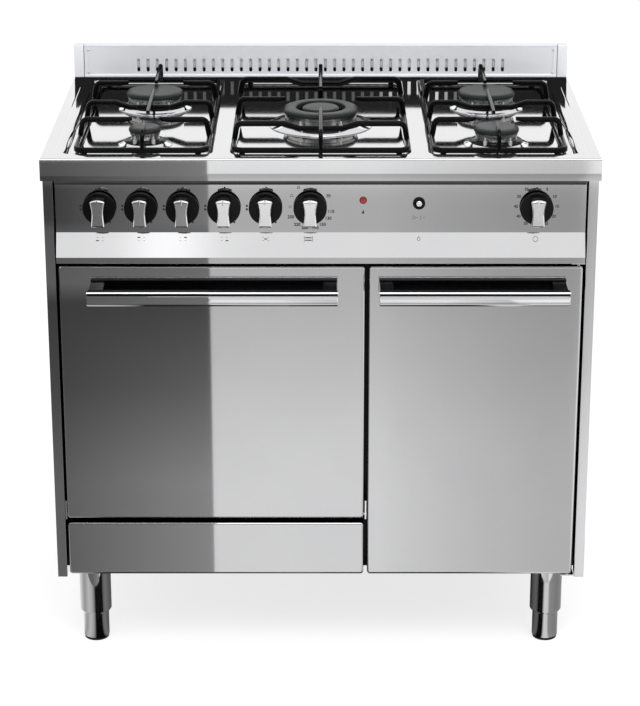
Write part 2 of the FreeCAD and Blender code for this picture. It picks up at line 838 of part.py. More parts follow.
def build_casing():
    """Side panels with folded front strips, back panel, base pan, front frame and partition."""
    for side, sign in (("left", "-"), ("right", "")):
        body = body_named(side.title() + "Side")
        corners = [
            ("side_outer", "door_front"), ("strip_inner", "door_front"),
            ("strip_inner", "door_front + strip_return"),
            ("strip_inner + sheet", "door_front + strip_return"),
            ("strip_inner + sheet", "door_front + sheet"), ("side_inner", "door_front + sheet"),
            ("side_inner", "body_back"), ("side_outer", "body_back"),
        ]
        outline = [(f"-({x})" if sign else x, y) for x, y in corners]
        pad(body, "XY", "foot_height", [outline], "hob_sheet_z - foot_height", "+z")
        node(body, side + "_side_panel")
    back = body_named("BackPanel")
    outline = rectangle("-side_inner", "foot_height", "side_inner", "hob_sheet_z")
    pad(back, "XZ", "body_back - sheet", [outline], "sheet", "+y")
    holes = [("circle", "inlet_x", "manifold_z + manifold_width / 2", "inlet_radius + loose_gap")]
    for step in range(int(number("rear_vent_count"))):
        across = f"-side_inner + rear_vent_start + {step} * rear_vent_pitch"
        for low in ("skirt_z - 30 - rear_vent_length", "foot_height + 60"):
            holes.append(("slot", across, low, f"{low} + rear_vent_length", "rear_vent_radius"))
    pocket(back, "XZ", "body_back", holes, "sheet + 1", "-y")
    node(back, "rear_panel")
    base = body_named("BasePan")
    floor = rectangle("-side_inner", "frame_back", "side_inner", "body_back - sheet")
    pad(base, "XY", "foot_height", [floor], "base_rise", "+z")
    pocket(base, "XY", "foot_height + base_rise", [grown(floor, "(-sheet)")], "base_rise - sheet", "-z")
    node(base, "base_pan")
    frame = body_named("FrontFrame")
    outline = rectangle("-side_inner", "foot_height", "side_inner", "lip_z")
    pad(frame, "XZ", "frame_face", [outline], "sheet", "+y")
    openings = [
        rectangle("oven_left - sheet", "oven_floor_z - sheet", "oven_right + sheet", "oven_top_z + sheet"),
        rectangle("door_split + cabinet_border", "foot_height + base_rise + 4",
                  "side_inner - cabinet_border", "door_top_z - cabinet_border"),
        rectangle("drawer_mid - drawer_half - drawer_mouth_gap", "foot_height + base_rise + 3",
                  "drawer_mid + drawer_half + drawer_mouth_gap", "drawer_top_z - 4"),
    ]
    pocket(frame, "XZ", "frame_face", openings, "sheet + 1", "+y")
    partition = box("Partition", ("door_split - partition_sheet / 2", "door_split + partition_sheet / 2"),
                    ("frame_back", "body_back - sheet"), ("foot_height + base_rise", "lip_z"))
    node(group("FrameAndPartition", [frame, partition]), "front_frame")


def build_control_panel():
    """Folded panel: short top lip, upright face, slope and lower lip, with holes for the controls."""
    body = body_named("ControlPanel")
    profile = [
        ("hob_front + 0.5", "skirt_z"), ("hob_front + 0.5", "skirt_z - sheet"),
        ("panel_front", "skirt_z - sheet"),
        ("panel_front", "crease_z"), ("slope_front", "slope_z"), ("slope_front", "lip_z"),
        ("frame_back", "lip_z"), ("frame_back", "lip_z + sheet"), ("slope_front + sheet", "lip_z + sheet"),
        ("slope_front + sheet", "slope_z"), ("panel_front + sheet", "crease_z"),
        ("panel_front + sheet", "skirt_z - sheet"), ("frame_back", "skirt_z - sheet"),
        ("frame_back", "skirt_z"),
    ]
    pad(body, "YZ", "-panel_half", [profile], "2 * panel_half", "+x")
    holes = [("circle", x, "knob_z", "spindle_hole_radius") for x in KNOBS.values()]
    holes.append(("circle", "lamp_x", "hob_height - lamp_drop", "lamp_radius"))
    holes.append(("circle", "button_x", "hob_height - button_drop", "button_ring_radius - 2"))
    pocket(body, "XZ", "panel_front", holes, "sheet + 1", "+y")
    node(body, "control_panel")


def build_feet():
    """Four polished feet: a sleeve under the base and a leg that winds out of it."""
    sleeves = []
    for end, y in (("front", "foot_front"), ("rear", "foot_back")):
        for side, x in (("left", "-foot_x"), ("right", "foot_x")):
            title = end.title() + side.title()
            sleeve = body_named(title + "Sleeve", x=x, y=y, z="0")
            bore = "leg_radius + running_gap"
            spin(sleeve, [
                (bore, "sleeve_z"), ("sleeve_radius - 2", "sleeve_z"), ("sleeve_radius", "sleeve_z + 3"),
                ("sleeve_radius", "foot_height"), ("0", "foot_height"), ("0", "foot_height - 6"),
                (bore, "foot_height - 6"),
            ])
            sleeves.append(sleeve)
            leg = body_named(title + "Leg", x=x, y=y, z="0")
            spin(leg, [
                ("0", "0"), ("leg_radius - 1", "0"), ("leg_radius - 1", "pad_rise"),
                ("leg_radius", "pad_rise + 1"), ("leg_radius", "sleeve_z + leg_overlap"),
                ("0", "sleeve_z + leg_overlap"),
            ])
            node(leg, f"{end}_{side}_foot")
    node(group("FootSleeves", sleeves), "foot_sleeves")


# ---------------------------------------------------------------- doors, drawer and handles

def door_skin(name, label, left, right, low, high, depth, holes):
    """Folded outer pan of a door or drawer front, open at the back."""
    body = body_named(name)
    pad(body, "XZ", "door_front", [rectangle(left, low, right, high)], depth, "+y")
    pocket(body, "XZ", f"door_front + {depth}",
           [rectangle(f"{left} + thin_sheet", f"{low} + thin_sheet", f"{right} - thin_sheet",
                      f"{high} - thin_sheet")], f"{depth} - thin_sheet", "-y")
    for role, level, outline, length, way in holes:
        pocket(body, role, level, [outline], length, way)
    node(body, label)


def door_liner(name, label, left, right, low, high):
    """Inner pan of a door: a flat rim and a raised field."""
    body = body_named(name)
    face = "door_back - liner_raise - sheet"
    pad(body, "XZ", face, [rectangle(left, low, right, high)], "sheet", "+y")
    field = rectangle(f"{left} + liner_offset", f"{low} + liner_offset",
                      f"{right} - liner_offset", f"{high} - liner_offset")
    pad(body, "XZ", f"{face} + sheet", [field], "liner_raise", "+y")
    hollow = rectangle(f"{left} + liner_offset + sheet", f"{low} + liner_offset + sheet",
                       f"{right} - liner_offset - sheet", f"{high} - liner_offset - sheet")
    pocket(body, "XZ", face, [hollow], "liner_raise", "+y")
    node(body, label)


def handle(name, label, left, right):
    """Bar handle with a bracket at each end, seated on the door."""
    body = body_named(name)
    low = "bar_top_z - bar_rise"
    section = [
        ("bar_front + 2", low), ("bar_front + bar_depth", low), ("bar_front + bar_depth", "bar_top_z"),
        ("bar_front + 2", "bar_top_z"), ("bar_front", "bar_top_z - 3"), ("bar_front", f"{low} + 3"),
    ]
    pad(body, "YZ", left, [section], f"{right} - ({left})", "+x")
    for start in (left, f"{right} - bar_bracket_width"):
        pad(body, "XY", f"{low} + 3", [rectangle(start, "bar_front + bar_depth - 1",
                                                 f"{start} + bar_bracket_width", "door_front")],
            "bar_rise - 6", "+z")
    node(body, label)


def hinge_pin(name, axis, x, y, z, length, block):
    """Hinge pin with the block that holds it inside the door."""
    return fuse(name, [rod(name + "_rod", axis, x, y, z, "hinge_pin_radius", length), block])


def build_doors():
    skin_depth = "(door_depth - liner_raise - sheet)"
    hole = "hinge_pin_radius + running_gap"
    oven = ("-door_outer", "oven_door_end", "oven_door_z", "door_top_z")
    side_hole = ("circle", "hinge_y", "oven_hinge_z", hole)
    door_skin("OvenDoor", "oven_door_panel", *oven, skin_depth, [
        ("YZ", "-door_outer", side_hole, "thin_sheet + 1", "+x"),
        ("YZ", "oven_door_end", side_hole, "thin_sheet + 1", "-x"),
    ])
    door_liner("OvenLiner", "oven_door_liner", *oven)
    node(box("OvenDoorWool", ("-door_outer + 30", "oven_door_end - 30"),
             ("door_front + thin_sheet", "door_back - liner_raise - sheet"),
             ("oven_door_z + 30", "door_top_z - 6")), "oven_door_insulation")
    handle("OvenBar", "oven_door_handle", "-door_outer + oven_bar_start", "oven_door_end - oven_bar_end")
    inner_y = ("door_front + thin_sheet", "door_front + hinge_block")
    inner_z = ("oven_door_z + thin_sheet", "oven_door_z + thin_sheet + hinge_block")
    left_block = box("OvenHingeBlockLeft", ("-door_outer + thin_sheet", "-door_outer + hinge_block"),
                     inner_y, inner_z)
    right_block = box("OvenHingeBlockRight", ("oven_door_end - hinge_block", "oven_door_end - thin_sheet"),
                      inner_y, inner_z)
    reach = "door_gap - 0.3"
    right_reach = "door_split_gap - 1.5"
    pins = [
        hinge_pin("OvenPinLeft", "x", f"-door_outer - ({reach})", "hinge_y", "oven_hinge_z",
                  f"{reach} + hinge_block - 1", left_block),
        hinge_pin("OvenPinRight", "x", "oven_door_end - hinge_block + 1", "hinge_y", "oven_hinge_z",
                  f"{right_reach} + hinge_block - 1", right_block),
    ]
    node(group("OvenPins", pins), "oven_door_hinge_pins")

    cabinet = ("cabinet_door_start", "door_outer", "door_foot_z", "door_top_z")
    pin_hole = ("circle", "cabinet_hinge_x", "hinge_y", hole)
    door_skin("CabinetDoor", "cabinet_door_panel", *cabinet, skin_depth, [
        ("XY", "door_top_z", pin_hole, "thin_sheet + 1", "-z"),
        ("XY", "door_foot_z", pin_hole, "thin_sheet + 1", "+z"),
    ])
    door_liner("CabinetLiner", "cabinet_door_liner", *cabinet)
    handle("CabinetBar", "cabinet_door_handle", "cabinet_door_start + cabinet_bar_start",
           "door_outer - cabinet_bar_end")
    block_x = ("door_outer - hinge_block", "door_outer - thin_sheet")
    lower = box("CabinetBlockLow", block_x, inner_y,
                ("door_foot_z + thin_sheet", "door_foot_z + thin_sheet + hinge_block"))
    upper = box("CabinetBlockHigh", block_x, inner_y,
                ("door_top_z - thin_sheet - hinge_block", "door_top_z - thin_sheet"))
    pins = [
        hinge_pin("CabinetPinLow", "z", "cabinet_hinge_x", "hinge_y", "foot_height + 0.5",
                  "door_foot_gap + hinge_block - 1", lower),
        hinge_pin("CabinetPinHigh", "z", "cabinet_hinge_x", "hinge_y", "door_top_z - hinge_block",
                  "hinge_block + 8", upper),
    ]
    node(group("CabinetPins", pins), "cabinet_door_hinge_pins")


def build_hinge_brackets():
    """Fixed ears on the front frame that carry the pins of both doors."""
    ears = []
    bore = "hinge_pin_radius + running_gap"
    mids = (("Left", "-strip_inner + door_gap / 2"), ("Right", "door_split"))
    for side, x in mids:
        plate = box("OvenEar" + side, (f"{x} - hinge_plate / 2", f"{x} + hinge_plate / 2"),
                    ("door_front + 1", "frame_face"), ("oven_door_z - 2", "oven_door_z + hinge_plate_rise"))
        hole = rod("OvenEarHole" + side, "x", f"{x} - hinge_plate", "hinge_y", "oven_hinge_z", bore,
                   "2 * hinge_plate")
        ears.append(cut("OvenEarPlate" + side, plate, [hole]))
    levels = (("Low", "foot_height + 1", "foot_height + 1 + hinge_plate"),
              ("High", "door_top_z + 3", "door_top_z + 3 + hinge_plate"))
    for side, low, high in levels:
        plate = box("CabinetEar" + side, ("cabinet_hinge_x - 12", "strip_inner - 1"),
                    ("door_front + 2", "frame_face"), (low, high))
        hole = rod("CabinetEarHole" + side, "z", "cabinet_hinge_x", "hinge_y", f"{low} - 1", bore,
                   "hinge_plate + 2")
        ears.append(cut("CabinetEarPlate" + side, plate, [hole]))
    node(group("HingeEars", ears), "door_hinge_brackets")


def build_drawer():
    """Drawer front, open box with a rail on each side, and the runners that hold the rails."""
    door_skin("DrawerFront", "drawer_front", "-door_outer", "oven_door_end", "door_foot_z", "drawer_top_z",
              "drawer_front_depth", [])
    body = body_named("DrawerBox")
    start = "door_front + thin_sheet"
    left, right = "drawer_mid - drawer_half", "drawer_mid + drawer_half"
    floor = rectangle(left, start, right, "runner_back")
    pad(body, "XY", "drawer_floor_z", [floor], "drawer_box_rise", "+z")
    rail_start = "frame_face - 30"
    for near, far in ((f"{left} - runner_reach", left), (right, f"{right} + runner_reach")):
        pad(body, "XY", "rail_z", [rectangle(near, rail_start, far, "runner_back")], "runner_rail", "+z")
    pocket(body, "XY", "drawer_floor_z + drawer_box_rise", [grown(floor, "(-thin_sheet)")],
           "drawer_box_rise - thin_sheet", "-z")
    node(body, "drawer_box")
    runners = []
    for side, sign in (("Left", -1), ("Right", 1)):
        def across(text):
            return f"drawer_mid + {sign} * (drawer_half + {text})"

        def span(a, b):
            return (across(b), across(a)) if sign < 0 else (across(a), across(b))

        long_y = ("frame_back + 4", "runner_back + 10")
        web = box("RunnerWeb" + side, span("runner_reach + loose_gap", "runner_reach + loose_gap + sheet"),
                  long_y, ("foot_height + sheet", "rail_z + runner_rail + 6"))
        shelf = box("RunnerShelf" + side, span("1", "runner_reach + loose_gap + 1"),
                    long_y, ("rail_z - sheet - loose_gap", "rail_z - loose_gap"))
        hood = box("RunnerHood" + side, span("1", "runner_reach + loose_gap + 1"), long_y,
                   ("rail_z + runner_rail + loose_gap", "rail_z + runner_rail + loose_gap + sheet"))
        runners.append(fuse("Runner" + side, [web, shelf, hood]))
    node(group("Runners", runners), "drawer_runners")


# ---------------------------------------------------------------- oven

def shelf_z(level):
    return f"oven_floor_z + shelf_first + {level} * shelf_pitch"


def build_oven():
    body = body_named("OvenCavity")
    inner = rectangle("oven_left", "oven_floor_z", "oven_right", "oven_top_z")
    pad(body, "XZ", "frame_face", [grown(inner, "sheet")], "oven_depth + sheet", "+y")
    pad(body, "XZ", "frame_face", [grown(inner, "oven_flange")], "sheet", "-y")
    pocket(body, "XZ", "frame_face - sheet", [inner], "oven_depth + sheet", "+y")
    node(body, "oven_cavity")
    seal = body_named("OvenSeal")
    pad(seal, "XZ", "frame_face - sheet", [grown(inner, "10"), grown(inner, "3")],
        "seal_gap - sheet - loose_gap", "-y")
    node(seal, "oven_door_seal")
    wool = box("WoolOuter", ("oven_left - sheet - insulation", "oven_right + sheet + insulation"),
               ("frame_back", "oven_back + sheet + insulation"),
               ("oven_floor_z - sheet - insulation", "oven_top_z + sheet + insulation"))
    core = box("WoolCore", ("oven_left - sheet", "oven_right + sheet"),
               ("frame_back - 1", "oven_back + sheet"), ("oven_floor_z - sheet", "oven_top_z + sheet"))
    node(cut("OvenWool", wool, [core]), "oven_insulation")
    build_side_racks()
    build_rack_and_tray()
    build_elements()
    lamp = body_named("OvenLamp", x="oven_right - lamp_inset", y="0", z="oven_top_z - lamp_inset")
    pad(lamp, "XZ", "oven_back", [("circle", "0", "0", "lamp_glass_radius")], "9", "-y")
    pad(lamp, "XZ", "oven_back - 9", [("circle", "0", "0", "lamp_glass_radius - 5")], "5", "-y")
    node(lamp, "oven_lamp")


def build_side_racks():
    """Wire ladders that carry the rack and the tray, on studs against the oven walls."""
    ladders = []
    wire = "wire_radius"
    for side, wall, sign in (("Left", "oven_left", ""), ("Right", "oven_right", "-")):
        post_x = f"{wall} + {sign}(wire_radius + 4)"
        rung_x = f"{wall} + {sign}(wire_radius + 8)"
        pieces = []
        for y in ("frame_face + 50", "oven_back - 50"):
            pieces.append(rod("Post" + side, "z", post_x, y, "oven_floor_z + 12", wire, "oven_rise - 24"))
            for z in ("oven_floor_z + 30", "oven_top_z - 30"):
                stud_x = wall if sign == "" else f"{wall} - wire_radius - 4"
                pieces.append(rod("Stud" + side, "x", stud_x, y, z, wire, "wire_radius + 4"))
        for level in range(int(number("shelf_levels"))):
            for rise in ("0", "rung_gap"):
                rung_z = f"{shelf_z(level)} + {rise}"
                pieces.append(rod("Rung" + side, "y", rung_x, "frame_face + 10", rung_z, wire,
                                  "oven_depth - 24"))
        ladders.append(fuse("Ladder" + side, pieces))
    node(group("Ladders", ladders), "shelf_side_racks")


def build_rack_and_tray():
    """Wire rack and enamelled tray, both resting on rungs of the side racks."""
    rest = "sqrt((wire_radius + rack_wire_radius + loose_gap)^2 - rack_inset^2)"
    z = f"{shelf_z(int(number('rack_level')))} + {rest}"
    edge = "wire_radius + 8 + rack_inset"
    left, right = f"oven_left + {edge}", f"oven_right - ({edge})"
    front = "frame_face + rack_front_gap"
    back = f"{front} + rack_depth"
    pieces = [
        rod("RackLeft", "y", left, front, z, "rack_wire_radius", "rack_depth"),
        rod("RackRight", "y", right, front, z, "rack_wire_radius", "rack_depth"),
        rod("RackFront", "x", left, front, z, "rack_wire_radius", f"{right} - ({left})"),
        rod("RackBack", "x", left, back, z, "rack_wire_radius", f"{right} - ({left})"),
    ]
    bars = int(number("rack_bars"))
    for place in range(1, bars + 1):
        x = f"{left} + ({right} - ({left})) * {place} / {bars + 1}"
        pieces.append(rod("RackBar", "y", x, front, z, "rack_wire_radius - 1", "rack_depth"))
    node(fuse("Rack", pieces), "oven_rack")
    tray = body_named("Tray")
    rim_z = f"{shelf_z(int(number('tray_level')))} + wire_radius + loose_gap"
    edge = "2 * wire_radius + 4 + 2 * loose_gap"
    left, right = f"oven_left + {edge}", f"oven_right - ({edge})"
    pad(tray, "XY", rim_z, [rectangle(left, front, right, back)], "2", "+z")
    pad(tray, "XY", rim_z, [rectangle(f"{left} + 12", f"{front} + 12", f"{right} - 12", f"{back} - 12")],
        "tray_drop", "-z")
    hollow = rectangle(f"{left} + 14", f"{front} + 14", f"{right} - 14", f"{back} - 14")
    pocket(tray, "XY", f"{rim_z} + 2", [hollow], "tray_drop", "-z")
    node(tray, "oven_tray")


def build_elements():
    """Looped heating rods under the roof and above the floor of the oven."""
    rods = []
    left, right = number("oven_left + element_margin"), number("oven_right - element_margin")
    front, back = number("frame_face + element_margin + 10"), number("oven_back")
    for name, level, loops in (("Grill", "oven_top_z - grill_drop", 4),
                               ("Floor", "oven_floor_z + floor_element_rise", 2)):
        z = number(level)
        step = (right - left) / (2 * loops - 1)
        points = [(left, back, z)]
        for turn in range(2 * loops):
            x = left + turn * step
            near, far = (back - 40, front) if turn % 2 == 0 else (front, back - 40)
            points += [(x, near, z), (x, far, z)]
        points.append((points[-1][0], back, z))
        points.pop(1)
        points.pop(-2)
        rods.append(shaped(name + "Rod", pipe(points, number("element_radius"), number("element_bend"))))
    node(group("Elements", rods), "oven_elements")


# ---------------------------------------------------------------- gas and electric parts

TAPS = ["rear_left", "front_left", "rear_right", "middle", "front_right"]
KNOBS = {f"burner_knob_{place + 1}": f"first_knob_x + {place} * knob_pitch" for place in range(len(TAPS))}
KNOBS["oven_knob"] = "oven_knob_x"
KNOBS["timer_knob"] = "timer_knob_x"


def tap_pipe(x, burner):
    """Pipe from the top of a tap, back and across under the hob, and up into the burner's cup."""
    across, end_y = (number(text) for text in BURNERS[burner][:2])
    start_y = number("tap_front + tap_depth") - 12
    level = number("pipe_z")
    detour = end_y + 80 if burner == "rear_right" else end_y
    points = [(x, start_y, number("tap_z + tap_rise")), (x, start_y, level), (x, detour, level)]
    if detour != end_y:
        points.append((across, detour, level))
    if abs(across - x) > 5:
        points.append((across, end_y, level))
    else:
        points[-1] = (across, end_y, level)
    points.append((across, end_y, number("cup_z")))
    return shaped("Pipe", pipe(points, number("pipe_radius"), 10))


def build_gas():
    """Square gas rail with a tap for each burner, and a pipe from each tap to its cup."""
    rail_y = ("manifold_y", "manifold_y + manifold_width")
    rail_z = ("manifold_z", "tap_z")
    inlet_z = "manifold_z + manifold_width / 2"
    rail_end = "body_back - sheet - 4"
    thread_start = "hob_back - 2 - inlet_thread"
    rail = box("RailAcross", ("first_knob_x - 20", "inlet_x + manifold_width / 2"), rail_y, rail_z)
    branch = box("RailBack", ("inlet_x - manifold_width / 2", "inlet_x + manifold_width / 2"),
                 ("manifold_y + manifold_width - 1", rail_end), rail_z)
    neck = rod("InletNeck", "y", "inlet_x", rail_end, inlet_z, "inlet_radius - 2",
               f"{thread_start} - ({rail_end})")
    tail = rod("InletTail", "y", "inlet_x", thread_start, inlet_z, "inlet_radius", "inlet_thread")
    bore = rod("InletBore", "y", "inlet_x", f"{rail_end} - 1", inlet_z, "inlet_bore",
               f"hob_back - ({rail_end})")
    node(cut("Rail", fuse("RailPieces", [rail, branch, neck, tail]), [bore]), "gas_manifold")
    taps, pipes = [], []
    for place, burner in enumerate(TAPS):
        x = KNOBS[f"burner_knob_{place + 1}"]
        block = box("TapBlock", (f"{x} - tap_width / 2", f"{x} + tap_width / 2"),
                    ("tap_front", "tap_front + tap_depth"), ("tap_z", "tap_z + tap_rise"))
        bore = rod("TapBore", "y", x, "tap_front - 1", "knob_z", "spindle_radius + running_gap",
                   "18 + push_travel")
        taps.append(cut("Tap", block, [bore]))
        pipes.append(tap_pipe(number(x), burner))
    node(group("Taps", taps), "gas_taps")
    node(group("Pipes", pipes), "burner_pipes")


def build_spindles():
    """A push-in spindle for each tap; the knob turns on its front end."""
    seat = "disc_back - spindle_bore + 1"
    for place in range(1, len(TAPS) + 1):
        stem = rod("Spindle", "y", KNOBS[f"burner_knob_{place}"], seat, "knob_z", "spindle_radius",
                   f"tap_front + 14 - ({seat})")
        node(stem, f"tap_spindle_{place}")


def grip_outline():
    """Upright grip that narrows at the waist and has an arched top."""
    half, waist, top = "grip_width / 2", "grip_waist / 2", "grip_rise / 2"
    return [
        (f"-{waist}", "-4"), (f"-({half}) + 1", f"-({top}) + 2"), (f"-({half}) + 3", f"-({top})"),
        (f"{half} - 3", f"-({top})"), (f"{half} - 1", f"-({top}) + 2"), (waist, "-4"), (waist, "4"),
        (half, f"{top} - 5"), (f"{half} - 3", f"{top} - 1"), ("0", top), (f"-({half}) + 3", f"{top} - 1"),
        (f"-({half})", f"{top} - 5"), (f"-{waist}", "4"),
    ]


def build_knobs():
    """Knobs: a round disc with an upright grip and a notch as pointer."""
    notch = rectangle("-notch_width / 2", "grip_rise / 2 - notch_length", "notch_width / 2",
                      "grip_rise / 2 + 1")
    for label, x in KNOBS.items():
        body = body_named(label.title().replace("_", ""), x=x, y="0", z="knob_z")
        pad(body, "XZ", "disc_back", [("circle", "0", "0", "knob_disc_radius")], "knob_disc_depth", "-y")
        pad(body, "XZ", "disc_front", [grip_outline()], "grip_depth", "-y")
        pocket(body, "XZ", "grip_front", [notch], "1.2", "+y")
        if label.startswith("burner"):
            pocket(body, "XZ", "disc_back", [("circle", "0", "0", "spindle_radius + running_gap")],
                   "spindle_bore", "-y")
        else:
            pad(body, "XZ", "disc_back", [("circle", "0", "0", "spindle_radius")],
                "knob_gap + sheet + tap_setback + 14", "+y")
        node(body, label)


def build_switches():
    """Oven switch and timer behind their knobs, each on a bent foot, and the mains terminal block."""
    terminal_x = "side_inner - terminal_inset"
    terminal_z = "skirt_z - 120"
    blocks = [box("Terminal", (terminal_x, f"{terminal_x} + terminal_width"),
                  ("body_back - sheet - terminal_depth", "body_back - sheet"),
                  (terminal_z, f"{terminal_z} + terminal_rise"))]
    for label in ("oven_knob", "timer_knob"):
        x = KNOBS[label]
        across = (f"{x} - switch_half", f"{x} + switch_half")
        block = box("SwitchBlock", across, ("tap_front", "tap_front + switch_depth"),
                    ("tap_z", "knob_z + switch_half"))
        bore = rod("SwitchBore", "y", x, "tap_front - 1", "knob_z", "spindle_radius + running_gap", "18")
        foot = box("SwitchFoot", across, ("tap_front + switch_depth - 4", "tap_front + switch_depth - 2"),
                   ("lip_z + sheet", "knob_z"))
        blocks.append(cut("Switch", fuse("SwitchBody", [block, foot]), [bore]))
    node(group("Switches", blocks), "switches_and_terminals")


def build_small_controls():
    """Spark button in its ring, and the lamp beside it."""
    z = "hob_height - button_drop"
    ring = body_named("ButtonRing", x="button_x", y="0", z=z)
    pad(ring, "XZ", "panel_front", [("circle", "0", "0", "button_ring_radius"),
                                    ("circle", "0", "0", "button_radius + loose_gap")], "4", "-y")
    pad(ring, "XZ", "panel_front", [("circle", "0", "0", "button_ring_radius - 2 - loose_gap"),
                                    ("circle", "0", "0", "button_radius + loose_gap")], "16", "+y")
    node(ring, "button_ring")
    button = body_named("Button", x="button_x", y="0", z=z)
    pad(button, "XZ", "panel_front + 10", [("circle", "0", "0", "button_radius")], "15", "-y")
    node(button, "spark_button")
    lamp = body_named("Lamp", x="lamp_x", y="0", z="hob_height - lamp_drop")
    pad(lamp, "XZ", "panel_front", [("circle", "0", "0", "lamp_radius + 1")], "3", "-y")
    pad(lamp, "XZ", "panel_front", [("circle", "0", "0", "lamp_radius - loose_gap")], "14", "+y")
    node(lamp, "indicator_lamp")


build_hob()
build_upstand()
build_burners()
build_supports()
build_casing()
build_control_panel()
build_feet()
build_doors()
build_hinge_brackets()
build_drawer()
build_oven()
build_gas()
build_spindles()
build_knobs()
build_switches()
build_small_controls()
doc.recompute()

# ---------------------------------------------------------------- checks and files

for item in doc.Objects:
    if "Invalid" in item.State or "Error" in item.State:
        raise RuntimeError(f"{item.Name} ({item.Label}) failed: {item.State}")
for item in nodes:
    if item.Shape.isNull() or not item.Shape.isValid() or not item.Shape.Solids:
        raise RuntimeError(f"{item.Label} has no valid shape")

os.makedirs("parts", exist_ok=True)
for item in nodes:
    item.Shape.exportStep(f"parts/{item.Label}.step")
    print(f"{item.Label}: {len(item.Shape.Solids)} solids, {item.Shape.Volume / 1000:.1f} cm3")
print(len(nodes), "nodes")
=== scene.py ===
# %% [markdown]
# # A range cooker in polished steel
#
# The cooker's construction is already made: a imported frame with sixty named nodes, its doors,
# knobs and feet on joints. This lesson dresses that frame. Each step first says what the piece
# is on the real cooker and why it is made the way it is, and then makes it.

# %% Load the frame
import json
import math

import bmesh
import bpy
import numpy as np
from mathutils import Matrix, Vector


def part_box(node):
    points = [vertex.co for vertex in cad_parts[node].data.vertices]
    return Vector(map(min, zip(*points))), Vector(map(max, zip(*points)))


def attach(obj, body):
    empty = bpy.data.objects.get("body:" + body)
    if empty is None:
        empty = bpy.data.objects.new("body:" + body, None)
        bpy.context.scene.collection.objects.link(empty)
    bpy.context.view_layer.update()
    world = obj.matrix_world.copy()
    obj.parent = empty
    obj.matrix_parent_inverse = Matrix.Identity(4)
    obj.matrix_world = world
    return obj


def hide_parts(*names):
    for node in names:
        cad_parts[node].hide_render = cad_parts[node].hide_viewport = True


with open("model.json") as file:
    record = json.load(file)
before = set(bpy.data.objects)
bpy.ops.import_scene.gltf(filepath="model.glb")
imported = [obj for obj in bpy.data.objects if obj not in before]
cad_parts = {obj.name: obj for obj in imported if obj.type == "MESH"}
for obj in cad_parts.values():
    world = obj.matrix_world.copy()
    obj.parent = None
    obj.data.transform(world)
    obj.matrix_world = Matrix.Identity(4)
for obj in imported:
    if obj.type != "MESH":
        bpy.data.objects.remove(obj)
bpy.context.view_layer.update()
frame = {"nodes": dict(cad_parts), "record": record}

MM = 0.001

# %% [markdown]
# ## Tools for making surfaces
#
# Nearly everything here is sheet metal or bar, so two ideas are enough: a section carried along
# a path, and a profile turned about an axis. Both give a grid of points, and a grid has quads
# whose corner numbers numpy works out all at once.

# %% Grids and outlines
def grid_quads(rows, columns, wrap_rows=False, wrap_columns=False):
    """Corner numbers of the quads of a grid whose points are numbered row by row."""
    i = np.arange(rows if wrap_rows else rows - 1)
    j = np.arange(columns if wrap_columns else columns - 1)
    i, j = np.meshgrid(i, j, indexing="ij")
    i_next, j_next = (i + 1) % rows, (j + 1) % columns
    corners = [i * columns + j, i * columns + j_next, i_next * columns + j_next, i_next * columns + j]
    return np.stack(corners, -1).reshape(-1, 4)


def rounded(points, radius, steps=5, closed=True):
    """Outline or path through the points with an arc at each corner, in two or three dimensions.

    An arc's centre lies on the corner's bisector at radius / sin(half angle), and its points
    are the even turns between its first and last spoke."""
    points = np.asarray(points, float)
    radii = np.broadcast_to(radius, len(points))
    pieces = []
    for place, (corner, r) in enumerate(zip(points, radii)):
        if r <= 0 or (not closed and place in (0, len(points) - 1)):
            pieces.append(corner[None])
            continue
        back = points[place - 1] - corner
        on = points[(place + 1) % len(points)] - corner
        back_length, on_length = np.linalg.norm(back), np.linalg.norm(on)
        back, on = back / back_length, on / on_length
        half = math.acos(np.clip(back @ on, -1, 1)) / 2
        if half > math.radians(89.5):
            pieces.append(corner[None])
            continue
        reach = min(r / math.tan(half), 0.48 * back_length, 0.48 * on_length)
        r = reach * math.tan(half)
        bisector = (back + on) / np.linalg.norm(back + on)
        centre = corner + bisector * r / math.sin(half)
        first, last = corner + back * reach - centre, corner + on * reach - centre
        turn = math.pi - 2 * half
        t = np.linspace(0, 1, steps + 1)[:, None]
        pieces.append(centre + (np.sin((1 - t) * turn) * first + np.sin(t * turn) * last) / math.sin(turn))
    return np.concatenate(pieces)


def oblong(left, low, right, high):
    return [(left, low), (right, low), (right, high), (left, high)]


# %% [markdown]
# A section carried along a path is set square to the path at each point: across it lies the
# section's first axis and upwards its second. A solid made this way is closed by its two ends,
# or by running round to its own start.

# %% Stacked, carried and turned solids
def stacked(rings, closed=(0, -1), wrap=False):
    """Outlines of equal counts joined one after the other, with a face on each of the closed
    ones; wrap joins the last to the first."""
    count = len(rings[0])
    faces = [grid_quads(len(rings), count, wrap, True)]
    faces += [np.arange(count)[None] + place % len(rings) * count for place in closed]
    return np.concatenate(rings), faces


def carried(section, path, closed=False):
    """A closed 2-D section carried along a path, with an end face at each open end."""
    section, path = np.asarray(section, float), np.asarray(path, float)
    steps = np.diff(np.concatenate([path, path[:1]]) if closed else path, axis=0)
    steps /= np.linalg.norm(steps, axis=1)[:, None]
    before = np.roll(steps, 1, 0) if closed else np.concatenate([steps[:1], steps])
    after = steps if closed else np.concatenate([steps, steps[-1:]])
    ahead = before + after
    ahead /= np.linalg.norm(ahead, axis=1)[:, None]
    across = np.cross(ahead, (0.0, 0.0, 1.0))
    across /= np.linalg.norm(across, axis=1)[:, None]
    top = np.cross(across, ahead)
    points = path[:, None] + section[None, :, :1] * across[:, None] + section[None, :, 1:] * top[:, None]
    return stacked(list(points), () if closed else (0, -1), closed)


def lifted(outline, axis, place):
    """A 2-D outline set at a place on an axis; its columns are the other two coordinates."""
    return np.insert(np.asarray(outline, float), "xyz".index(axis), place, axis=1)


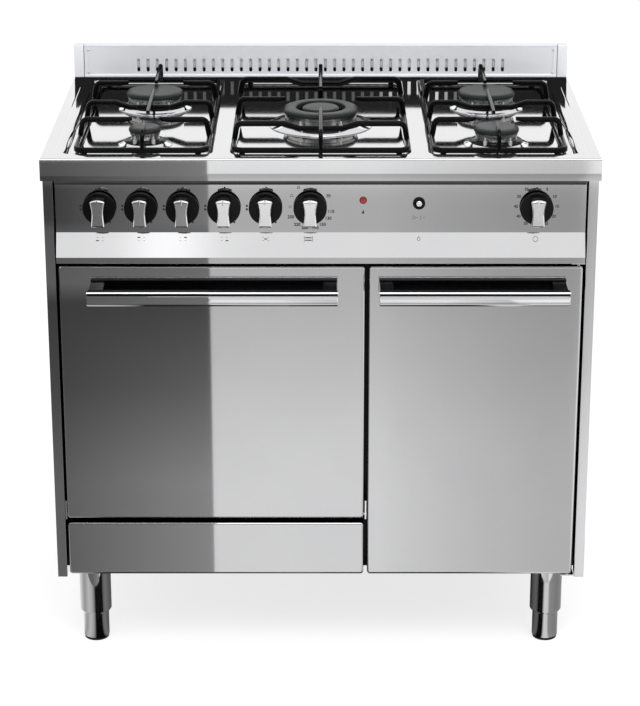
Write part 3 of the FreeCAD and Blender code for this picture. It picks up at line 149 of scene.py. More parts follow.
def extruded(section, start, end, axis):
    """Solid of a closed section between two places on an axis."""
    return stacked([lifted(section, axis, start), lifted(section, axis, end)])


def turned(profile, centre, axis="z", steps=64, hollow=False):
    """(radius, height) profile turned about an axis through centre: x = r cos a, y = r sin a.
    A hollow profile runs round to its own start."""
    profile = np.asarray(profile, float)
    angle = np.linspace(0, 2 * math.pi, steps, endpoint=False)
    ring = np.stack([np.cos(angle), np.sin(angle)], -1)
    around = profile[:, None, :1] * ring[None]
    height = np.broadcast_to(profile[:, None, 1:], around.shape[:2] + (1,))
    if axis == "z":
        points = np.concatenate([around, height], -1)
    else:
        points = np.concatenate([around[..., :1], height, around[..., 1:]], -1)
    return points.reshape(-1, 3) + centre, [grid_quads(len(profile), steps, hollow, True)]


# %% [markdown]
# ## Finishes
#
# Polished sheet is never quite even: its shine varies a little from place to place, and a large
# flat sheet is faintly wavy, which bends what it mirrors. Both are slow noises on Object
# coordinates, so that they stay put on the steel. They are needed by many finishes, so each is
# a node group, built once, and every finish sets its own amounts.

# %% Node helpers and shared groups
def node_in(tree, kind, links=None, **settings):
    """A node of a kind with its settings; links gives its inputs values or other nodes' outputs."""
    item = tree.nodes.new(kind)
    for name, value in settings.items():
        setattr(item, name, value)
    for name, value in (links or {}).items():
        if isinstance(value, bpy.types.NodeSocket):
            tree.links.new(value, item.inputs[name])
        else:
            item.inputs[name].default_value = value
    return item


def maths(tree, operation, *values):
    return node_in(tree, "ShaderNodeMath", dict(enumerate(values)), operation=operation).outputs[0]


def noise(tree, where, scale, detail, **links):
    links.update(Vector=where, Scale=scale, Detail=detail)
    return node_in(tree, "ShaderNodeTexNoise", links).outputs["Fac"]


def new_group(name, inputs, output, kind):
    """Empty node group: returns it, its inputs' sockets, Object coordinates and its output."""
    group = bpy.data.node_groups.new(name, "ShaderNodeTree")
    for title, value in inputs:
        socket = group.interface.new_socket(title, in_out="INPUT", socket_type="NodeSocketFloat")
        socket.default_value = value
    group.interface.new_socket(output, in_out="OUTPUT", socket_type="NodeSocket" + kind)
    enter, leave = group.nodes.new("NodeGroupInput"), group.nodes.new("NodeGroupOutput")
    where = node_in(group, "ShaderNodeTexCoord").outputs["Object"]
    return group, enter.outputs[:len(inputs)], where, leave.inputs[output]


def uneven_group():
    """Value that wanders about a middle: middle + spread * (slow noise + quarter of a fast one)."""
    group, (scale, middle, spread), where, leave = new_group(
        "Uneven", [("Scale", 6.0), ("Middle", 0.2), ("Spread", 0.1)], "Value", "Float")
    slow = noise(group, where, scale, 3.0, Roughness=0.55)
    fast = noise(group, where, maths(group, "MULTIPLY", scale, 14.0), 2.0)
    both = maths(group, "ADD", slow, maths(group, "MULTIPLY", fast, 0.25))
    about = maths(group, "SUBTRACT", both, 0.625)
    group.links.new(maths(group, "MULTIPLY_ADD", about, spread, middle), leave)
    return group


def wavy_group():
    """Normal of a sheet with waves of a size and, on them, grains of another."""
    group, (wave_scale, wave_height, grain_scale, grain_height), where, leave = new_group(
        "Wavy", [("Wave scale", 3.0), ("Wave height", 0.001), ("Grain scale", 400.0),
                 ("Grain height", 0.00002)], "Normal", "Vector")
    high = maths(group, "MULTIPLY", noise(group, where, wave_scale, 1.0), wave_height)
    both = maths(group, "MULTIPLY_ADD", noise(group, where, grain_scale, 2.0), grain_height, high)
    bump = node_in(group, "ShaderNodeBump", {"Height": both, "Distance": 1.0, "Strength": 1.0})
    group.links.new(bump.outputs["Normal"], leave)
    return group


def speckled_group():
    """Mask of scattered specks: 1 inside a cell's core whose cell is one of the chosen share."""
    group, (scale, size, share), where, leave = new_group(
        "Speckled", [("Scale", 300.0), ("Size", 0.25), ("Share", 0.5)], "Mask", "Float")
    cells = node_in(group, "ShaderNodeTexVoronoi", {"Vector": where, "Scale": scale})
    near = maths(group, "LESS_THAN", cells.outputs["Distance"], size)
    tone = node_in(group, "ShaderNodeSeparateColor", {"Color": cells.outputs["Color"]})
    chosen = maths(group, "LESS_THAN", tone.outputs[0], share)
    group.links.new(maths(group, "MULTIPLY", near, chosen), leave)
    return group


uneven, wavy, speckled = uneven_group(), wavy_group(), speckled_group()


# %% [markdown]
# A finish is one material: colour, shine and relief, with its own amounts in the shared groups.
# The two colours are mixed by the uneven noise or by specks.

# %% A finish from its amounts
FINISHES = {}


def shared(tree, group, values):
    """Output of a shared group in a material, with its inputs set in order."""
    return node_in(tree, "ShaderNodeGroup", dict(enumerate(values)), node_tree=group).outputs[0]


def finish(name, colour, other, metal=0.0, shine=(5.0, 0.2, 0.06), relief=(3.0, 0.0, 400.0, 0.0),
           specks=None, **shader_values):
    """Material: shine is (scale, middle, spread) of the roughness, relief the amounts of Wavy,
    specks those of Speckled; other is the second colour."""
    material = bpy.data.materials.new(name)
    material.use_nodes = True
    tree = material.node_tree
    shader = tree.nodes["Principled BSDF"]
    shader.inputs["Metallic"].default_value = metal
    for title, value in shader_values.items():
        shader.inputs[title.replace("_", " ")].default_value = value
    tree.links.new(shared(tree, uneven, shine), shader.inputs["Roughness"])
    tree.links.new(shared(tree, wavy, relief), shader.inputs["Normal"])
    share = shared(tree, speckled, specks) if specks else shared(tree, uneven, (shine[0] * 1.7, 0.5, 1.4))
    mix = node_in(tree, "ShaderNodeMix", {"Factor": share}, data_type="RGBA")
    mix.inputs[6].default_value = (*colour, 1)
    mix.inputs[7].default_value = (*other, 1)
    tree.links.new(mix.outputs[2], shader.inputs["Base Color"])
    FINISHES[name.lower().replace(" ", "_")] = material


finish("Polished steel", (0.58, 0.58, 0.585), (0.545, 0.545, 0.555), metal=1.0,
       shine=(4.0, 0.06, 0.025), relief=(2.2, 0.00025, 900.0, 0.0000008))
finish("Zinc sheet", (0.55, 0.56, 0.57), (0.43, 0.44, 0.46), metal=1.0, shine=(30.0, 0.42, 0.25),
       relief=(4.0, 0.0006, 300.0, 0.00001), specks=(70.0, 0.9, 0.5))
finish("Satin steel", (0.72, 0.735, 0.765), (0.67, 0.685, 0.715), metal=0.35, shine=(5.0, 0.5, 0.1),
       relief=(3.0, 0.0003, 900.0, 0.000002))
finish("Black enamel", (0.0014, 0.0014, 0.0016), (0.003, 0.003, 0.0035), shine=(20.0, 0.14, 0.06),
       relief=(60.0, 0.00012, 500.0, 0.00001), Specular_IOR_Level=0.09)
finish("Cap enamel", (0.011, 0.0145, 0.0128), (0.016, 0.0205, 0.018), shine=(30.0, 0.36, 0.12),
       relief=(60.0, 0.0001, 900.0, 0.00001), Specular_IOR_Level=0.16)
finish("Burner aluminium", (0.50, 0.50, 0.49), (0.36, 0.36, 0.355), metal=1.0,
       shine=(40.0, 0.2, 0.07), relief=(80.0, 0.00003, 1500.0, 0.000004))
finish("Bright chrome", (0.78, 0.78, 0.80), (0.72, 0.72, 0.74), metal=1.0, shine=(20.0, 0.07, 0.05),
       relief=(30.0, 0.00004, 900.0, 0.0))
finish("Oven enamel", (0.016, 0.017, 0.022), (0.34, 0.35, 0.38), shine=(15.0, 0.2, 0.1),
       relief=(50.0, 0.00015, 500.0, 0.00001), specks=(420.0, 0.3, 0.35))
finish("Mineral wool", (0.52, 0.47, 0.28), (0.66, 0.62, 0.44), shine=(60.0, 0.95, 0.05),
       relief=(60.0, 0.004, 500.0, 0.0008))
finish("Seal rubber", (0.016, 0.016, 0.016), (0.03, 0.03, 0.03), shine=(60.0, 0.62, 0.15),
       relief=(100.0, 0.0001, 700.0, 0.00003))
finish("Rod ceramic", (0.44, 0.43, 0.40), (0.34, 0.33, 0.31), shine=(60.0, 0.35, 0.15),
       relief=(200.0, 0.00003, 900.0, 0.0))
finish("Brass parts", (0.74, 0.56, 0.27), (0.62, 0.44, 0.19), metal=1.0, shine=(60.0, 0.32, 0.2),
       relief=(80.0, 0.00005, 900.0, 0.00001))
finish("Gas pipe", (0.66, 0.66, 0.65), (0.55, 0.55, 0.55), metal=1.0, shine=(30.0, 0.36, 0.2),
       relief=(40.0, 0.0001, 900.0, 0.00001))
finish("Black plastic", (0.0025, 0.0025, 0.003), (0.005, 0.005, 0.0055), shine=(40.0, 0.3, 0.1),
       relief=(60.0, 0.00003, 1800.0, 0.00002), Specular_IOR_Level=0.12)
finish("Knob metal", (0.80, 0.80, 0.81), (0.74, 0.74, 0.75), metal=1.0, shine=(60.0, 0.16, 0.1),
       relief=(60.0, 0.00002, 1500.0, 0.000002))
finish("Lamp red", (0.30, 0.008, 0.006), (0.2, 0.005, 0.004), shine=(90.0, 0.14, 0.06),
       Coat_Weight=0.4, Transmission_Weight=0.1)
finish("Lamp glass", (0.93, 0.95, 0.95), (0.88, 0.9, 0.9), shine=(40.0, 0.06, 0.04),
       Transmission_Weight=0.9)
finish("Printed ink", (0.012, 0.012, 0.013), (0.02, 0.02, 0.02), shine=(200.0, 0.4, 0.1))
print(len(FINISHES), "finishes")

# %% [markdown]
# ## The parts that keep their own solids
#
# Folded casing, oven, racks, taps and pipes already have their shape in the frame. They keep it,
# take the finish of their slot, and get what a solid lacks: their loose triangles are welded,
# flat ones joined, and their edges softened by a fine bevel, which catches the light. The front
# frame shows only through the gaps round the fronts; its black enamel is painted shade, which
# stands for the dark of those deep, narrow gaps.

# %% Dressing the frame's own nodes
slot_of = {part["node"]: part["material_slot"] for part in frame["record"]["subparts"]}
for name, item in frame["nodes"].items():
    item.data.materials.clear()
    # the front frame's black enamel is painted shade for the gaps round the fronts
    item.data.materials.append(FINISHES["black_enamel" if name == "front_frame" else slot_of[name]])
    weld = item.modifiers.new("Weld", "WELD")
    weld.merge_threshold = 0.00001
    flat = item.modifiers.new("Flat faces", "DECIMATE")
    flat.decimate_type = "DISSOLVE"
    flat.angle_limit = math.radians(1)
    soft = item.modifiers.new("Soft edges", "BEVEL")
    soft.width, soft.segments, soft.limit_method = 0.0004, 2, "ANGLE"
    soft.angle_limit = math.radians(35)
    soft.harden_normals = False
print("dressed", len(frame["nodes"]), "nodes")

# %% [markdown]
# The other pieces are made anew. Parts of a piece are gathered into one mesh. Doubles are merged,
# which also closes the poles of turned parts, and the normals are then worked out afresh, so that
# every face looks outwards.

# %% Gathering parts into a piece
SHEET_WALL = 0.0009


def gathered(parts):
    """Several (points, faces) parts as one, each part's face numbers moved on past the last."""
    points, faces, start = [], [], 0
    for some_points, some_faces in parts:
        points.append(some_points)
        for block in some_faces:
            faces += (np.asarray(block) + start).tolist()
        start += len(some_points)
    return np.concatenate(points), faces


def piece(name, parts, finish_name, body="cooker", replaces=(), slot=None, sharp=32):
    """Object at the origin made of parts in millimetres, riding on a body. Its slot argument is not used."""
    slot = slot or finish_name
    points, faces = gathered(parts)
    mesh = bpy.data.meshes.new(name)
    mesh.from_pydata((points * MM).tolist(), [], faces)
    work = bmesh.new()
    work.from_mesh(mesh)
    bmesh.ops.remove_doubles(work, verts=work.verts, dist=2e-6)
    bmesh.ops.recalc_face_normals(work, faces=work.faces)
    work.to_mesh(mesh)
    work.free()
    mesh.polygons.foreach_set("use_smooth", np.ones(len(mesh.polygons), bool))
    mesh.set_sharp_from_angle(angle=math.radians(sharp))
    mesh.materials.append(FINISHES[finish_name])
    item = bpy.data.objects.new(name, mesh)
    bpy.context.scene.collection.objects.link(item)
    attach(item, body)
    if replaces:
        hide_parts(*replaces)
    return item


def shade_flat(item):
    """Shading that follows the larger faces, so that a small bevel doesn't bend a flat face's."""
    even = item.modifiers.new("Even shading", "WEIGHTED_NORMAL")
    even.weight, even.keep_sharp = 100, True


def thicken(item, wall=SHEET_WALL):
    """Sheet thickness inwards from the surface."""
    sheet = item.modifiers.new("Sheet thickness", "SOLIDIFY")
    sheet.thickness, sheet.offset = wall, -1
    shade_flat(item)


def place_of(node):
    """A node's box in millimetres: (low corner, high corner)."""
    low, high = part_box(node)
    return np.array(low) / MM, np.array(high) / MM


def face_of(node):
    """Middle of a node across and up, and the place of its front, in millimetres."""
    low, high = place_of(node)
    return (low[0] + high[0]) / 2, (low[2] + high[2]) / 2, low[1]


# %% [markdown]
# ## Hob
#
# The hob is one pressed sheet: a flat rim, three shallow wells with rounded corners, and a
# skirt folded down all round. As a surface over the plan, its height is the flat top, less a
# smooth step where a rounded oblong's edge is crossed, and the skirt is the same sheet once
# its plan stops growing. The grid is fine only where the height changes.

# %% Hob surface
hob_low, hob_high = place_of("hob_top")
HOB_TOP, HOB_WALL = hob_high[2], 0.0016
WELL_DEPTH, WELL_CORNER, WELL_RAMP = 6.0, 16.0, 11.0
WELLS = [(-418, -174), (-147, 147), (174, 418)]
WELL_FRONT, WELL_BACK = -257.0, 268.0
LINE_X, LINE_FRONT, LINE_BACK, LINE_DEPTH, LINE_HALF = 431.0, -252.0, 262.0, 0.5, 1.2
FOLD = 3.0
BURNERS = {  # across, along, radius of the cap, radius of the dish
    "rear_left": (-288, 84, 49.5, 64), "front_left": (-288, -171, 26.5, 44), "middle": (0, -37, 63.5, 88),
    "rear_right": (288, 84, 49.5, 64), "front_right": (288, -171, 37.0, 53),
}


def across_and_down(low, high, stops, skirt):
    """Places along one side of the sheet and how far each lies below its top: the skirt, an arc
    of radius FOLD, the stops between, and the same again."""
    turn = np.linspace(0, math.pi / 2, 7)[1:-1]
    arc_out, arc_down = FOLD * (1 - np.sin(turn)), FOLD * (1 - np.cos(turn))
    down = np.array([skirt, skirt * 0.66, skirt * 0.33, FOLD])
    place = np.concatenate([np.full(4, low), low + arc_out[::-1], stops, high - arc_out, np.full(4, high)])
    drop = np.concatenate([down, arc_down[::-1], np.zeros(len(stops)), arc_down, down[::-1]])
    return place, drop


def edge_lines(edges, inward):
    """Fine lines about each edge, from just outside it to past its rounded corner."""
    reach = np.concatenate([np.linspace(-2, WELL_RAMP + 2, 12), np.linspace(WELL_RAMP + 4, 30, 6)])
    return np.concatenate([edge + way * reach for edge, way in zip(edges, inward)])


def spaced(stops, low, high, least=0.7):
    """Sorted stops between two places, none nearer to the last than the least step."""
    kept = []
    for stop in np.sort(stops):
        if low < stop < high and (not kept or stop - kept[-1] >= least):
            kept.append(stop)
    return np.array(kept)


def oblong_distance(x, y, left, front, right, back, corner):
    """Distance outside a rounded oblong, negative inside it."""
    out_x = np.abs(x - (left + right) / 2) - (right - left) / 2 + corner
    out_y = np.abs(y - (front + back) / 2) - (back - front) / 2 + corner
    outside = np.hypot(np.maximum(out_x, 0), np.maximum(out_y, 0))
    return outside + np.minimum(np.maximum(out_x, out_y), 0) - corner


well_edges = [edge for well in WELLS for edge in well]
lines = [s * (LINE_X + d) for s in (-1, 1) for d in (-1.6, -0.8, 0, 0.8, 1.6)]
x_stops = np.concatenate([edge_lines(well_edges, [1, -1] * 3), lines, np.linspace(-446, 446, 60)])
y_stops = np.concatenate([edge_lines([WELL_FRONT, WELL_BACK], [1, -1]), np.linspace(-281, 311, 44),
                          [LINE_FRONT - 2, LINE_FRONT, LINE_BACK, LINE_BACK + 2]])
skirt = HOB_TOP - hob_low[2]
x_line, x_drop = across_and_down(hob_low[0], hob_high[0], spaced(x_stops, -446.9, 446.9), skirt)
y_line, y_drop = across_and_down(hob_low[1], hob_high[1], spaced(y_stops, -281.9, 311.9), skirt)
hob_x, hob_y = np.meshgrid(x_line, y_line, indexing="ij")
well_step = np.zeros_like(hob_x)
for left, right in WELLS:
    inside = -oblong_distance(hob_x, hob_y, left, WELL_FRONT, right, WELL_BACK, WELL_CORNER)
    depth = np.clip(inside / WELL_RAMP, 0, 1)
    well_step += WELL_DEPTH * depth * depth * (3 - 2 * depth)
line_step = (LINE_DEPTH * np.clip(1 - np.abs(np.abs(hob_x) - LINE_X) / LINE_HALF, 0, 1)
             * ((hob_y > LINE_FRONT) & (hob_y < LINE_BACK)))
hob_z = HOB_TOP - np.maximum(x_drop[:, None], y_drop[None, :]) - well_step - line_step
hob_points = np.stack([hob_x, hob_y, hob_z], -1).reshape(-1, 3)
hob_faces = grid_quads(len(x_line), len(y_line))
covered = np.zeros(len(hob_points), bool)
for x, y, radius, _ in BURNERS.values():
    covered |= np.hypot(hob_points[:, 0] - x, hob_points[:, 1] - y) < radius - 6
hob_faces = hob_faces[~covered[hob_faces].all(axis=1)]
hob = piece("hob_sheet", [(hob_points, [hob_faces])], "polished_steel", replaces=["hob_top"])
thicken(hob, HOB_WALL)
print("hob", len(hob.data.polygons), "quads")

# %% [markdown]
# A black strip fills the joint between the hob's skirt and the panel below it. It is painted shade,
# standing for the shadow gap there; it is one section, folded over the panel's upper lip, carried
# straight across.

# %% Painted shade strip under the skirt
panel_low, panel_high = place_of("control_panel")
shade_strip = [(-273.6, 834.4), (-274.5, 834.0), (-274.8, 839.9), (-285.3, 839.9), (-285.4, 842.85),
        (-284.4, 842.85), (-284.4, 840.7), (-273.6, 840.7)]
# the black rubber strip is painted shade for the gap under the hob's skirt
piece("hob_shade_strip", [extruded(shade_strip, panel_low[0] + 0.5, panel_high[0] - 0.5, "x")], "seal_rubber", sharp=30)
print("shade_strip", round(panel_high[0] - panel_low[0]), "mm wide")

# %% [markdown]
# ## Upstand
#
# Behind the hob stands a hollow box of satin sheet with a row of upright vents, and a plain box
# closes each end. The vents could be cut by booleans, but forty of them leave poor meshes. Here
# each vent is a cell: a ring of points round the slot, each joined to a point of the cell's
# oblong edge. Equal cells side by side share their edge points, so they merge into one sheet, and
# rows of the folded profile above and below them share the same places across.

# %% Vent cells
up_low, up_high = place_of("rear_upstand")
UP_FRONT, UP_BACK, UP_TOP, UP_FOOT, UP_END = up_low[1], up_high[1], up_high[2], up_low[2], 430.0
VENT_LOW, VENT_HIGH, VENT_HALF, VENT_PITCH, VENT_COUNT = 889.0, 913.0, 2.75, 17.0, 40
CELL_LOW, CELL_HIGH, HALF_ROW = 886.0, 916.0, VENT_COUNT * VENT_PITCH / 2


def vent_cell(x):
    """Slot ring and cell edge: a slot point at turn a of the upper arc is centre + half * (cos a,
    sin a). Its partner runs along the cell's side, then along its top from corner to corner."""
    turn = np.linspace(0, math.pi, 9)
    arc = VENT_HALF * np.stack([np.cos(turn), np.sin(turn)], -1)
    bend = VENT_HIGH - VENT_HALF
    upper = arc + (0, bend)
    upper_edge = np.stack([np.array([1, 1, 1, 0.5, 0, -0.5, -1, -1, -1]) * VENT_PITCH / 2,
                           np.array([0, 0.5, 1, 1, 1, 1, 1, 0.5, 0]) * (CELL_HIGH - bend) + bend], -1)
    mirrored = [part * (-1, -1) + (0, VENT_LOW + VENT_HIGH) for part in (upper, upper_edge)]
    ring = np.concatenate([upper, mirrored[0], upper_edge, mirrored[1]]) + (x, 0)
    return lifted(ring, "y", UP_FRONT), [grid_quads(2, 18, False, True)]


def folded_strip(profile, places):
    """Sheet of a (depth, height) profile between places along x; its grid shares the cells' points."""
    profile, places = np.asarray(profile, float), np.asarray(places, float)
    x = np.repeat(places, len(profile))
    return (np.column_stack([x, np.tile(profile, (len(places), 1))]),
            [grid_quads(len(places), len(profile))])


vent_x = (np.arange(VENT_COUNT) - (VENT_COUNT - 1) / 2) * VENT_PITCH
places = np.concatenate([[-UP_END, -UP_END + 4], np.linspace(-HALF_ROW, HALF_ROW, 4 * VENT_COUNT + 1),
                         [UP_END - 4, UP_END]])
foot = rounded([(UP_FRONT - 1.6, UP_FOOT), (UP_FRONT - 1.4, UP_FOOT + 3), (UP_FRONT, UP_FOOT + 4.6),
                (UP_FRONT, CELL_LOW)], [0, 2.0, 1.2, 0], steps=4, closed=False)
top = rounded([(UP_FRONT, CELL_HIGH), (UP_FRONT, UP_TOP - 2.9), (UP_FRONT + 0.7, UP_TOP - 2.4),
               (UP_FRONT, UP_TOP - 1.9), (UP_FRONT, UP_TOP), (UP_BACK, UP_TOP), (UP_BACK, UP_FOOT)],
              [0, 0, 0, 0, 1.3, 2.0, 0], steps=5, closed=False)
cell = vent_cell(0)[0]
side_levels = np.unique(np.round(cell[np.isclose(cell[:, 0], VENT_PITCH / 2), 2], 4))
side = np.stack([np.full(len(side_levels), UP_FRONT), side_levels], -1)
sheet = [vent_cell(x) for x in vent_x] + [folded_strip(foot, places), folded_strip(top, places)]
for sign in (-1, 1):
    ends = np.sort([sign * HALF_ROW, sign * (UP_END - 4), sign * UP_END])
    sheet.append(folded_strip(side, ends))
thicken(piece("upstand_sheet", sheet, "satin_steel", replaces=["rear_upstand"], slot="polished_steel",
              sharp=40))

# %% [markdown]
# Through a vent one sees the box's lit back in the upper part and shade in the lower. Two flat
# strips close behind the sheet show the same from every side: a satin one for the back, and a black
# one that is painted shade.

# %% Liners behind the vents
LINER_STEP = 895.8
light_liner = oblong(UP_FRONT + 5.0, LINER_STEP, UP_FRONT + 5.8, CELL_HIGH)
shade_liner = oblong(UP_FRONT + 1.4, CELL_LOW, UP_FRONT + 2.2, LINER_STEP)
piece("vent_liner_light", [extruded(light_liner, -HALF_ROW, HALF_ROW, "x")], "satin_steel",
      slot="polished_steel")
# the black strip is painted shade for the lower part of the box behind the vents
piece("vent_painted_shade", [extruded(shade_liner, -HALF_ROW, HALF_ROW, "x")], "black_plastic")
print("liners step at", LINER_STEP)

# %% End boxes and screws of the upstand
end_boxes, screws = [], []
for sign in (-1, 1):
    near, far = sorted((sign * (UP_END + 0.9), sign * up_high[0]))
    rings = []
    for height, inset in ((UP_FOOT, 0.0), (UP_TOP - 1.6, 0.0), (UP_TOP - 0.5, 0.5), (UP_TOP, 1.6),
                          (UP_TOP, 2.4)):
        ring = rounded(oblong(near + inset, UP_FRONT + inset, far - inset, UP_BACK - inset), 1.6, steps=4)
        rings.append(lifted(ring, "z", height))
    end_boxes.append(stacked(rings))
    strap = rounded([(UP_FRONT + 0.3, 0), (UP_FRONT - 0.7, 0), (UP_FRONT - 0.7, 8.4), (UP_FRONT + 0.3, 8.4)],
                    [0, 0.3, 0.3, 0], steps=2)
    strap = np.stack([sign * (UP_END - 0.3 - strap[:, 1]), strap[:, 0]], -1)
    end_boxes.append(extruded(strap, UP_FOOT + 0.4, UP_TOP - 5.0, "z"))
    head = rounded([(0, UP_FRONT - 0.6), (2.1, UP_FRONT - 0.6), (2.1, UP_FRONT - 1.1), (0.9, UP_FRONT - 1.9),
                    (0, UP_FRONT - 1.6)], [0, 0, 0.3, 0.4, 0], steps=3)
    for height in (UP_TOP - 9, UP_FOOT + 7):
        screws.append(turned(head, (sign * (UP_END - 7.2), 0, height), axis="y", steps=24))
piece("upstand_end_boxes", end_boxes, "satin_steel", replaces=["rear_upstand"], slot="polished_steel",
      sharp=40)
piece("upstand_screws", screws, "zinc_sheet", sharp=40)
print("upstand with", VENT_COUNT, "vents, front at", UP_FRONT)

# %% [markdown]
# ## Burners
#
# Each burner is a stack on one axis: a chromed dish pressed into the hob, a black ring in it, an
# aluminium ring with slots for the flames, and an enamelled cap. The black ring is painted shade:
# it stands for the shadow round the foot of the flame ring. Dish, black ring and cap are turned
# profiles. So is the ring, but its wall steps in and out with the angle like a castle wall.

# %% Burner dishes, flame rings and caps
WELL_FLOOR, DISH_TOP, RING_TOP, CAP_TOP = 874.0, 884.0, 897.0, 905.0


def flame_wall(centre, radius, low, high, slots, inner, tooth=2.2, cut_height=2.6):
    """Ring with flame slots: a smooth wall, and under its top edge a row of notches where the
    radius steps in by a tooth over the second part of each of the equal turns."""
    share = np.array([0.0, 0.56, 0.6, 0.96])
    angle = ((np.arange(slots)[:, None] + share[None]) * 2 * math.pi / slots).ravel()
    cut = np.tile([0.0, 0.0, 1.0, 1.0], slots)
    notch = high - cut_height
    rows = [(inner, low, 0), (radius - 3.0, low, 0), (radius - 1.2, low + 2.2, 0),
            (radius - 1.2, notch - 2.4, 0), (radius, notch - 1.4, 0), (radius, notch - 0.1, 0),
            (radius, notch, 1), (radius, high, 1), (inner, high, 0)]
    points = []
    for r, z, slotted in rows:
        reach = r - tooth * cut * slotted
        points.append(np.stack([reach * np.cos(angle), reach * np.sin(angle), np.full(len(angle), z)], -1))
    return np.concatenate(points) + (*centre, 0), [grid_quads(len(rows), len(angle), True, True)]


dishes, shade_rings, rings, caps, rods = [], [], [], [], []
ROD_TURNS = np.radians([-60, 240])
for name, (x, y, radius, dish_radius) in BURNERS.items():
    crown, at = name == "middle", (x, y, 0)
    dish = rounded([(radius - 14, WELL_FLOOR - 20), (radius - 5, WELL_FLOOR - 20), (radius - 5, WELL_FLOOR),
                    (dish_radius, WELL_FLOOR), (dish_radius + 0.2, WELL_FLOOR + 1.5),
                    (dish_radius - 6, WELL_FLOOR + 3.6), (radius + 4, DISH_TOP - 1.6),
                    (radius - 1.0, DISH_TOP), (radius - 14, DISH_TOP)],
                   [0, 0, 0, 0, 0.9, 14, 14, 1.0, 0], steps=5)
    dishes.append(turned(dish, at, steps=96))
    reach = radius + 4 + 0.5 * (dish_radius - radius - 10)
    collar_and_shade_ring = rounded([(radius - 3, DISH_TOP - 2), (radius + 4, DISH_TOP - 3), (reach, WELL_FLOOR + 5.2),
                      (reach + 0.3, WELL_FLOOR + 6.5), (radius + 4, DISH_TOP - 0.9),
                      (radius - 3, DISH_TOP + 0.6)], [0, 6, 0, 0.3, 6, 0], steps=4)
    shade_rings.append(turned(collar_and_shade_ring, at, steps=96, hollow=True))
    rings.append(flame_wall((x, y), radius - 1.6, DISH_TOP, RING_TOP, int(radius * 1.45),
                            radius - 24 if crown else 5))
    inner = radius - 22 if crown else 0
    rim = rounded([(inner, RING_TOP), (radius, RING_TOP), (radius, CAP_TOP - 3.4),
                   (radius - 2.6, CAP_TOP - 1), (radius - 8, CAP_TOP), (inner, CAP_TOP)],
                  [1.5 if crown else 0, 0.8, 1.4, 1.6, 3, 2.5 if crown else 0], steps=4)
    caps.append(turned(rim, at, steps=96, hollow=crown))
    if crown:
        rings.append(flame_wall((x, y), 29.0, DISH_TOP, RING_TOP + 1, 34, 5))
        heart = rounded([(0, RING_TOP + 1), (31, RING_TOP + 1), (31, CAP_TOP - 2), (28, CAP_TOP),
                         (0, CAP_TOP)], [0, 0.6, 1.5, 2, 0], steps=4)
        caps.append(turned(heart, at, steps=80))
    for turn in ROD_TURNS:
        pin = rounded([(0, WELL_FLOOR), (3.0, WELL_FLOOR), (3.0, 888), (1.4, 888.5), (1.4, 893.5), (0, 894)],
                      [0, 0.3, 0.8, 0.3, 0.5, 0], steps=3)
        rods.append(turned(pin, (x + (radius + 4) * math.cos(turn), y + (radius + 4) * math.sin(turn), 0),
                           steps=20))
piece("burner_dishes", dishes, "bright_chrome", replaces=["burner_cups"], sharp=40)
# black ring of painted shade round the foot of each flame ring
piece("burner_shade_rings", shade_rings, "black_enamel", replaces=["burner_cups"], slot="bright_chrome", sharp=40)
piece("flame_walls", rings, "burner_aluminium", replaces=["flame_rings"], sharp=25)
piece("enamel_caps", caps, "cap_enamel", replaces=["burner_caps"], sharp=40)
piece("spark_and_probe_rods", rods, "rod_ceramic", replaces=["igniters_and_probes"])
print("burners", list(BURNERS))

# %% [markdown]
# ## Pan supports
#
# Three lift-off supports of black enamelled bar stand in the wells. Each is an oblong frame with
# a foot at its corners, and fingers that rise steeply from it, turn over a rounded shoulder and
# run level over the burner, thinning towards their tips. Bars between two sides dip in the
# middle. Every bar is the same rounded section carried along its own bent line.

# %% Bars of the supports
FRAME_LOW, BAR_WIDE, BAR_THICK, FINGER_LEVEL = 878.0, 7.0, 9.0, 910.5
SUPPORT_FRONT, SUPPORT_BACK = -245.0, 258.0
SHOULDER, DIP_HALF, DIP_RAMP, DIP_DROP = 5.0, 35.0, 24.0, 8.0
edge = BAR_WIDE / 2
bar_section = rounded([(-3.5, -4.5), (3.5, -4.5), (3.5, 4.5), (-3.5, 4.5)], [1.2, 1.2, 2.6, 2.6], steps=3)


def thinned(path, section, length=16.0, least=0.55):
    """The carried bar with its far end drawn in: width and depth shrink to the least share over
    the length, and the top stays level."""
    points, faces = carried(section, path)
    points = points.reshape(len(path), len(section), 3)
    along = np.linalg.norm(path - path[-1], axis=1)
    share = least + (1 - least) * np.sqrt(np.clip(along / length, 0, 1))
    top = points[..., 2].max(axis=1)
    centre = path[:, None]
    shrunk = centre + (points - centre) * share[:, None, None]
    shrunk[..., 2] += (top - shrunk[..., 2].max(axis=1))[:, None]
    return shrunk.reshape(-1, 3), faces


def bar_line(way, level, start, end, dip=None, open_start=False):
    """A bar's bent centre line along x or y; with a dip it comes down again at its far end."""
    sign = 1 if end > start else -1
    foot = FRAME_LOW + BAR_THICK / 2
    line = [(start, FINGER_LEVEL)] if open_start else [(start, foot), (start + sign * SHOULDER, FINGER_LEVEL)]
    if dip is None:
        line += [(end - sign * d, FINGER_LEVEL) for d in (16, 12, 8, 5, 2.5, 1, 0)]
    else:
        shoulder, low = DIP_HALF + DIP_RAMP, FINGER_LEVEL - DIP_DROP
        line += [(dip - sign * shoulder, FINGER_LEVEL), (dip - sign * DIP_HALF, low),
                 (dip + sign * DIP_HALF, low), (dip + sign * shoulder, FINGER_LEVEL),
                 (end - sign * SHOULDER, FINGER_LEVEL), (end, foot)]
    path = rounded([(u, z) for u, z in line], [0] + [9.0] * (len(line) - 2) + [0], steps=6, closed=False)
    return lifted(path, "y" if way == "x" else "x", level)


